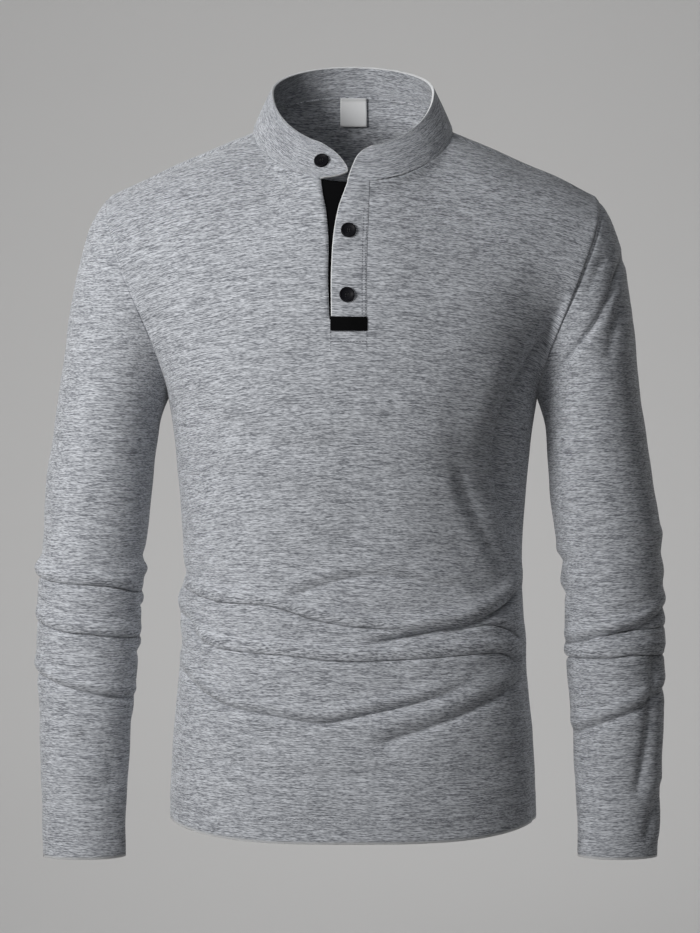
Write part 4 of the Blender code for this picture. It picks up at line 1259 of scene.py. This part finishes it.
def placket_strip(jersey):
    edges = placket_edge("strip_edge"), placket_edge("strip_right")
    grid = front_strip(edges, (PLACKET_FOOT_Z, None), *STRIP_CELLS, strip_lift)
    # the strip's open edge gets the painted edge highlight
    return small_piece("placket_strip", grid, jersey, "placket_over", STRIP_WALL, STRIP_RIM,
                       run_lengths(grid, 1))


def placket_facing(black):
    edges = placket_edge("panel_edge", -FACING_OVERLAP), placket_edge("strip_right", FACING_OVERLAP)
    grid = front_strip(edges, (PLACKET_FOOT_Z - FACING_OVERLAP, None), *FACING_CELLS,
                       lambda share: -FACING_DROP)
    return small_piece("placket_facing", grid, black, "placket_under", FACING_WALL)


def placket_tape(black):
    grid = front_strip((upright(BAR_LEFT_X), upright(BAR_RIGHT_X)), (PLACKET_FOOT_Z, BAR_TOP_Z), *TAPE_CELLS,
                       lambda share: strip_lift(share) + STRIP_WALL / 2 + TAPE_WALL / 2)
    return small_piece("placket_tape", grid, black, "placket_bar", TAPE_WALL, TAPE_RIM)


def label_cloth(material):
    inward = -(BODY_WALL / 2 + LABEL_CLEARANCE + LABEL_WALL / 2)
    top_z = float(top_points(BACK, np.zeros(1))[0, 2])
    levels = np.linspace(level_at_height(BACK, top_z - LABEL_LENGTH), 2, LABEL_CELLS + 1)
    left, right = (
        draped_points(BACK, station_at_edge(upright(x), levels, BACK), levels, inward)[:, None]
        for x in (LABEL_LEFT_X, LABEL_RIGHT_X)
    )
    grid = lerp(left, right, even(LABEL_CELLS)[None, :, None])
    grid[..., 1] -= LABEL_LEAN * even(LABEL_CELLS)[::-1, None] ** 2
    return small_piece("neck_label_cloth", grid, material, "neck_label", LABEL_WALL)


# ---------------------------------------------------------------- buttons
def button_profile():
    """Half section of a button from its middle, up to the rim and back under it."""
    radius, top = BUTTON_RADIUS, BUTTON_THICKNESS
    rim = BUTTON_RIM / 2
    arc = [
        (radius - rim + rim * math.sin(angle), top - rim * BUTTON_RIM_FALL * (1 - math.cos(angle)))
        for angle in (math.radians(step) for step in range(-60, 91, 15))
    ]
    return [(0, top - BUTTON_DISH), (radius - BUTTON_DISH_EDGE, top - BUTTON_DISH), *arc,
            (radius, BUTTON_EDGE), (radius - BUTTON_EDGE, 0), (0, 0)]


def holed_button(name):
    """Mesh of a button about Z with its four holes."""
    bm = bmesh.new()
    for step in range(4):
        angle = math.pi / 4 + step * math.pi / 2
        x, y = BUTTON_HOLE_PLACE * math.cos(angle), BUTTON_HOLE_PLACE * math.sin(angle)
        bmesh.ops.create_cone(bm, cap_ends=True, segments=16, radius1=BUTTON_HOLE, radius2=BUTTON_HOLE,
                              depth=BUTTON_CUTTER, matrix=Matrix.Translation((x, y, 0)))
    cutter = new_object("holes", finished_mesh("holes", bm))
    blank = new_object("blank", spun_mesh(name, button_profile(), BUTTON_STEPS))
    blank.modifiers.new("holes", "BOOLEAN").object = cutter
    holed = bpy.data.meshes.new_from_object(blank.evaluated_get(bpy.context.evaluated_depsgraph_get()))
    for used in (cutter, blank):
        bpy.data.objects.remove(used)
    return holed


def button_thread(name, to_place):
    """Mesh of the two stitches in a button's holes."""
    bm = bmesh.new()
    reach = BUTTON_HOLE_PLACE * math.sqrt(0.5)
    lift = BUTTON_THICKNESS - BUTTON_DISH + THREAD_LIFT
    size = Matrix.Diagonal((THREAD_RADIUS, reach + THREAD_RADIUS, THREAD_RADIUS, 1))
    for x in (-reach, reach):
        bmesh.ops.create_uvsphere(bm, u_segments=10, v_segments=8, radius=1,
                                  matrix=to_place @ Matrix.Translation((x, 0, lift)) @ size)
    return finished_mesh(name, bm)


def add_button(node, surface, normal, wall, material, thread):
    """Button and its thread on the outside of a wall whose middle runs through a point."""
    foot = surface + normal * (wall / 2 + BUTTON_CLEARANCE)
    turn = Vector(normal).to_track_quat("Z", "Y").to_matrix().to_4x4()
    to_place = Matrix.Translation(foot) @ turn
    mesh = holed_button("shirt_" + node)
    mesh.transform(to_place)
    mesh.materials.clear()
    add_piece("shirt_" + node, mesh, material, node)
    mesh.set_sharp_from_angle(angle=BUTTON_SHARP_ANGLE)
    add_piece(node + "_thread", button_thread(node + "_thread", to_place), thread)


def add_buttons(material, thread):
    for node, (x, z) in PLACKET_BUTTONS.items():
        level = np.full(1, level_at_height(FRONT, z))
        station = station_at_edge(upright(x), level)
        surface = draped_points(FRONT, station, level, STRIP_LIFT)[0]
        normal = unit(draped_points(FRONT, station, level, 1.0) - draped_points(FRONT, station, level))[0]
        add_button(node, surface, normal, STRIP_WALL, material, thread)
    height = np.full(1, COLLAR_BUTTON_HEIGHT)
    angle = np.arcsin(COLLAR_BUTTON_X / lerp(NECK_HALF_WIDTH, COLLAR_TOP_HALF_WIDTH, height))
    outward = points(np.sin(angle), -np.cos(angle), 0)
    normal = surface_normals(collar_points, angle, height, outward)[0]
    add_button("button_collar", collar_points(angle, height)[0], normal, COLLAR_WALL, material, thread)


# ---------------------------------------------------------------- stitches
def stitch_row(bm, line, stitch):
    """Short threads laid end to end along a line of points that lies on the cloth."""
    runs = run_lengths(line[None], 1)[0]
    count = max(1, round(runs[-1] / stitch.pitch))
    middles = (np.arange(count) + 0.5) * runs[-1] / count

    def at(distance):
        return np.stack([np.interp(distance, runs, line[:, axis]) for axis in range(3)], axis=-1)

    for low, high in zip(at(middles - stitch.length / 2), at(middles + stitch.length / 2)):
        way = Vector(high - low)
        turn = way.to_track_quat("Y", "Z").to_matrix().to_4x4()
        size = Matrix.Diagonal((STITCH_RADIUS, way.length / 2, STITCH_RADIUS, 1))
        bmesh.ops.create_uvsphere(bm, u_segments=6, v_segments=4, radius=1,
                                  matrix=Matrix.Translation(Vector((low + high) / 2)) @ turn @ size)


def add_stitches(name, lines, stitch, material):
    """Stitches along lines, sewn a few points at a time, because a large bmesh grows slowly."""
    whole = bmesh.new()
    for line in lines:
        for first in range(0, len(line) - 1, STITCH_BLOCK):
            bm = bmesh.new()
            stitch_row(bm, line[first:first + STITCH_BLOCK + 1], stitch)
            block = finished_mesh("block", bm)
            whole.from_mesh(block)
            bpy.data.meshes.remove(block)
    add_piece(name, finished_mesh(name, whole), material)


def hem_lines():
    stations = np.linspace(-HEM_REACH, HEM_REACH, HEM_POINTS)
    return [
        draped_points(side, stations, rise / (ARMPIT_Z - HEM_MIDDLE_Z), BODY_WALL / 2)
        for rise in HEM_RISES
        for side in (FRONT, BACK)
    ]


def cuff_lines(name):
    top_z, cuff_z = sleeve_ends(name)
    turns = np.linspace(0, 1, CUFF_POINTS)
    return [
        draped_sleeve(name, turns, 2 - rise / (top_z - cuff_z) + 0 * turns, BODY_WALL / 2)
        for rise in HEM_RISES
    ]


def placket_line(edge, low_z, high_z, out):
    low, high = level_at_height(FRONT, low_z), level_at_height(FRONT, high_z)
    levels = np.linspace(low, high, PLACKET_POINTS)
    return draped_points(FRONT, station_at_edge(edge, levels), levels, out)


def seam_line(inset):
    """Line on the placket strip beside its seam."""
    z = np.linspace(PLACKET_FOOT_Z, STITCH_TOP_Z, PLACKET_POINTS)
    left, right = placket_edge("strip_edge")(z), placket_edge("strip_right")(z)
    lift = strip_lift((right - inset - left) / (right - left)) + STRIP_WALL / 2
    return placket_line(placket_edge("strip_right", -inset), PLACKET_FOOT_Z, STITCH_TOP_Z, lift)


def box_lines():
    """Two lines down the panel below the placket's foot, and one across near their lower ends."""
    on_panel = BODY_WALL / 2
    down = [
        placket_line(upright(x), BOX_FOOT_Z, PLACKET_FOOT_Z, on_panel)
        for x in (BAR_LEFT_X + BOX_INSET, BAR_RIGHT_X - BOX_INSET)
    ]
    level = np.full(1, level_at_height(FRONT, BOX_CROSS_Z))
    left, right = (station_at_edge(upright(x), level)[0] for x in (BAR_LEFT_X, BAR_RIGHT_X))
    return [*down, draped_points(FRONT, np.linspace(left, right, CROSS_POINTS), level, on_panel)]


# ---------------------------------------------------------------- studio
def add_camera():
    camera = bpy.data.cameras.new("camera")
    camera.sensor_width = SENSOR
    camera.lens = SENSOR * -CAMERA_PLACE[1] / FRAME_HEIGHT
    viewer = new_object("camera", camera)
    viewer.location = CAMERA_PLACE
    viewer.rotation_euler = (math.pi / 2, 0, 0)
    bpy.context.scene.camera = viewer


def add_floor():
    """Round floor that turns up into a wall all round."""
    cove = [
        (FLOOR_RADIUS + COVE_RADIUS * math.sin(angle), FLOOR_Z + COVE_RADIUS * (1 - math.cos(angle)))
        for angle in (math.radians(step) for step in range(0, 91, 5))
    ]
    mesh = spun_mesh("studio_floor", [(0, FLOOR_Z), *cove], FLOOR_STEPS)
    mesh.shade_smooth()
    mesh.materials.append(new_material("pale_floor", 0.9, Base_Color=FLOOR_PALE)[0])
    new_object("studio_floor", mesh)


def add_lights():
    world = bpy.data.worlds.new("studio_air")
    world.use_nodes = True
    air = world.node_tree.nodes["Background"]
    air.inputs["Color"].default_value = AIR_TINT
    air.inputs["Strength"].default_value = AIR_STRENGTH
    bpy.context.scene.world = world
    for name, place, target, size, power, tint in LIGHTS:
        light = bpy.data.lights.new(name, "AREA")
        light.shape = "DISK"
        light.size = size
        light.energy = power
        light.color = tint
        lamp = new_object(name, light)
        lamp.location = place
        lamp.rotation_euler = (Vector(target) - Vector(place)).to_track_quat("-Z", "Y").to_euler()


# ---------------------------------------------------------------- the shirt
def main():
    heather, weave, edge = heather_group(), weave_group(), edge_highlight_group()
    jersey = jersey_material("heather_grey_jersey", heather, edge)
    strip_jersey = jersey_material("heather_grey_jersey_strip", heather, edge)
    black = woven_material("black_facing", weave, FACING_BLACK, FACING_THREAD, 0.9, 0.0, 0.05)
    satin = woven_material("white_satin", weave, SATIN_WHITE, SATIN_THREAD, 0.5, 0.1, 0.4)
    resin = resin_material()
    grey_thread = thread_material("grey_thread", HEM_THREAD_GREY)
    dark_thread = thread_material("dark_grey_thread", PLACKET_THREAD_GREY)
    black_thread = thread_material("black_thread", BUTTON_THREAD_BLACK)
    front = front_cloth(jersey)
    back = back_cloth(jersey)
    sleeves = [sleeve_cloth(name, jersey) for name in SLEEVE_SIDES]
    collar = collar_band(jersey)
    strip, facing, tape = placket_strip(strip_jersey), placket_facing(black), placket_tape(black)
    label = label_cloth(satin)
    add_buttons(resin, black_thread)
    add_stitches("hem_stitches", hem_lines(), HEM_STITCH, grey_thread)
    for name in SLEEVE_SIDES:
        add_stitches(name + "_stitches", cuff_lines(name), HEM_STITCH, grey_thread)
    add_stitches("placket_stitches", [seam_line(inset) for inset in SEAM_INSETS], PLACKET_STITCH, dark_thread)
    add_stitches("placket_foot_stitches", box_lines(), PLACKET_STITCH, dark_thread)
    add_camera()
    add_floor()
    add_lights()
    bpy.context.scene.view_settings.view_transform = "Standard"


main()
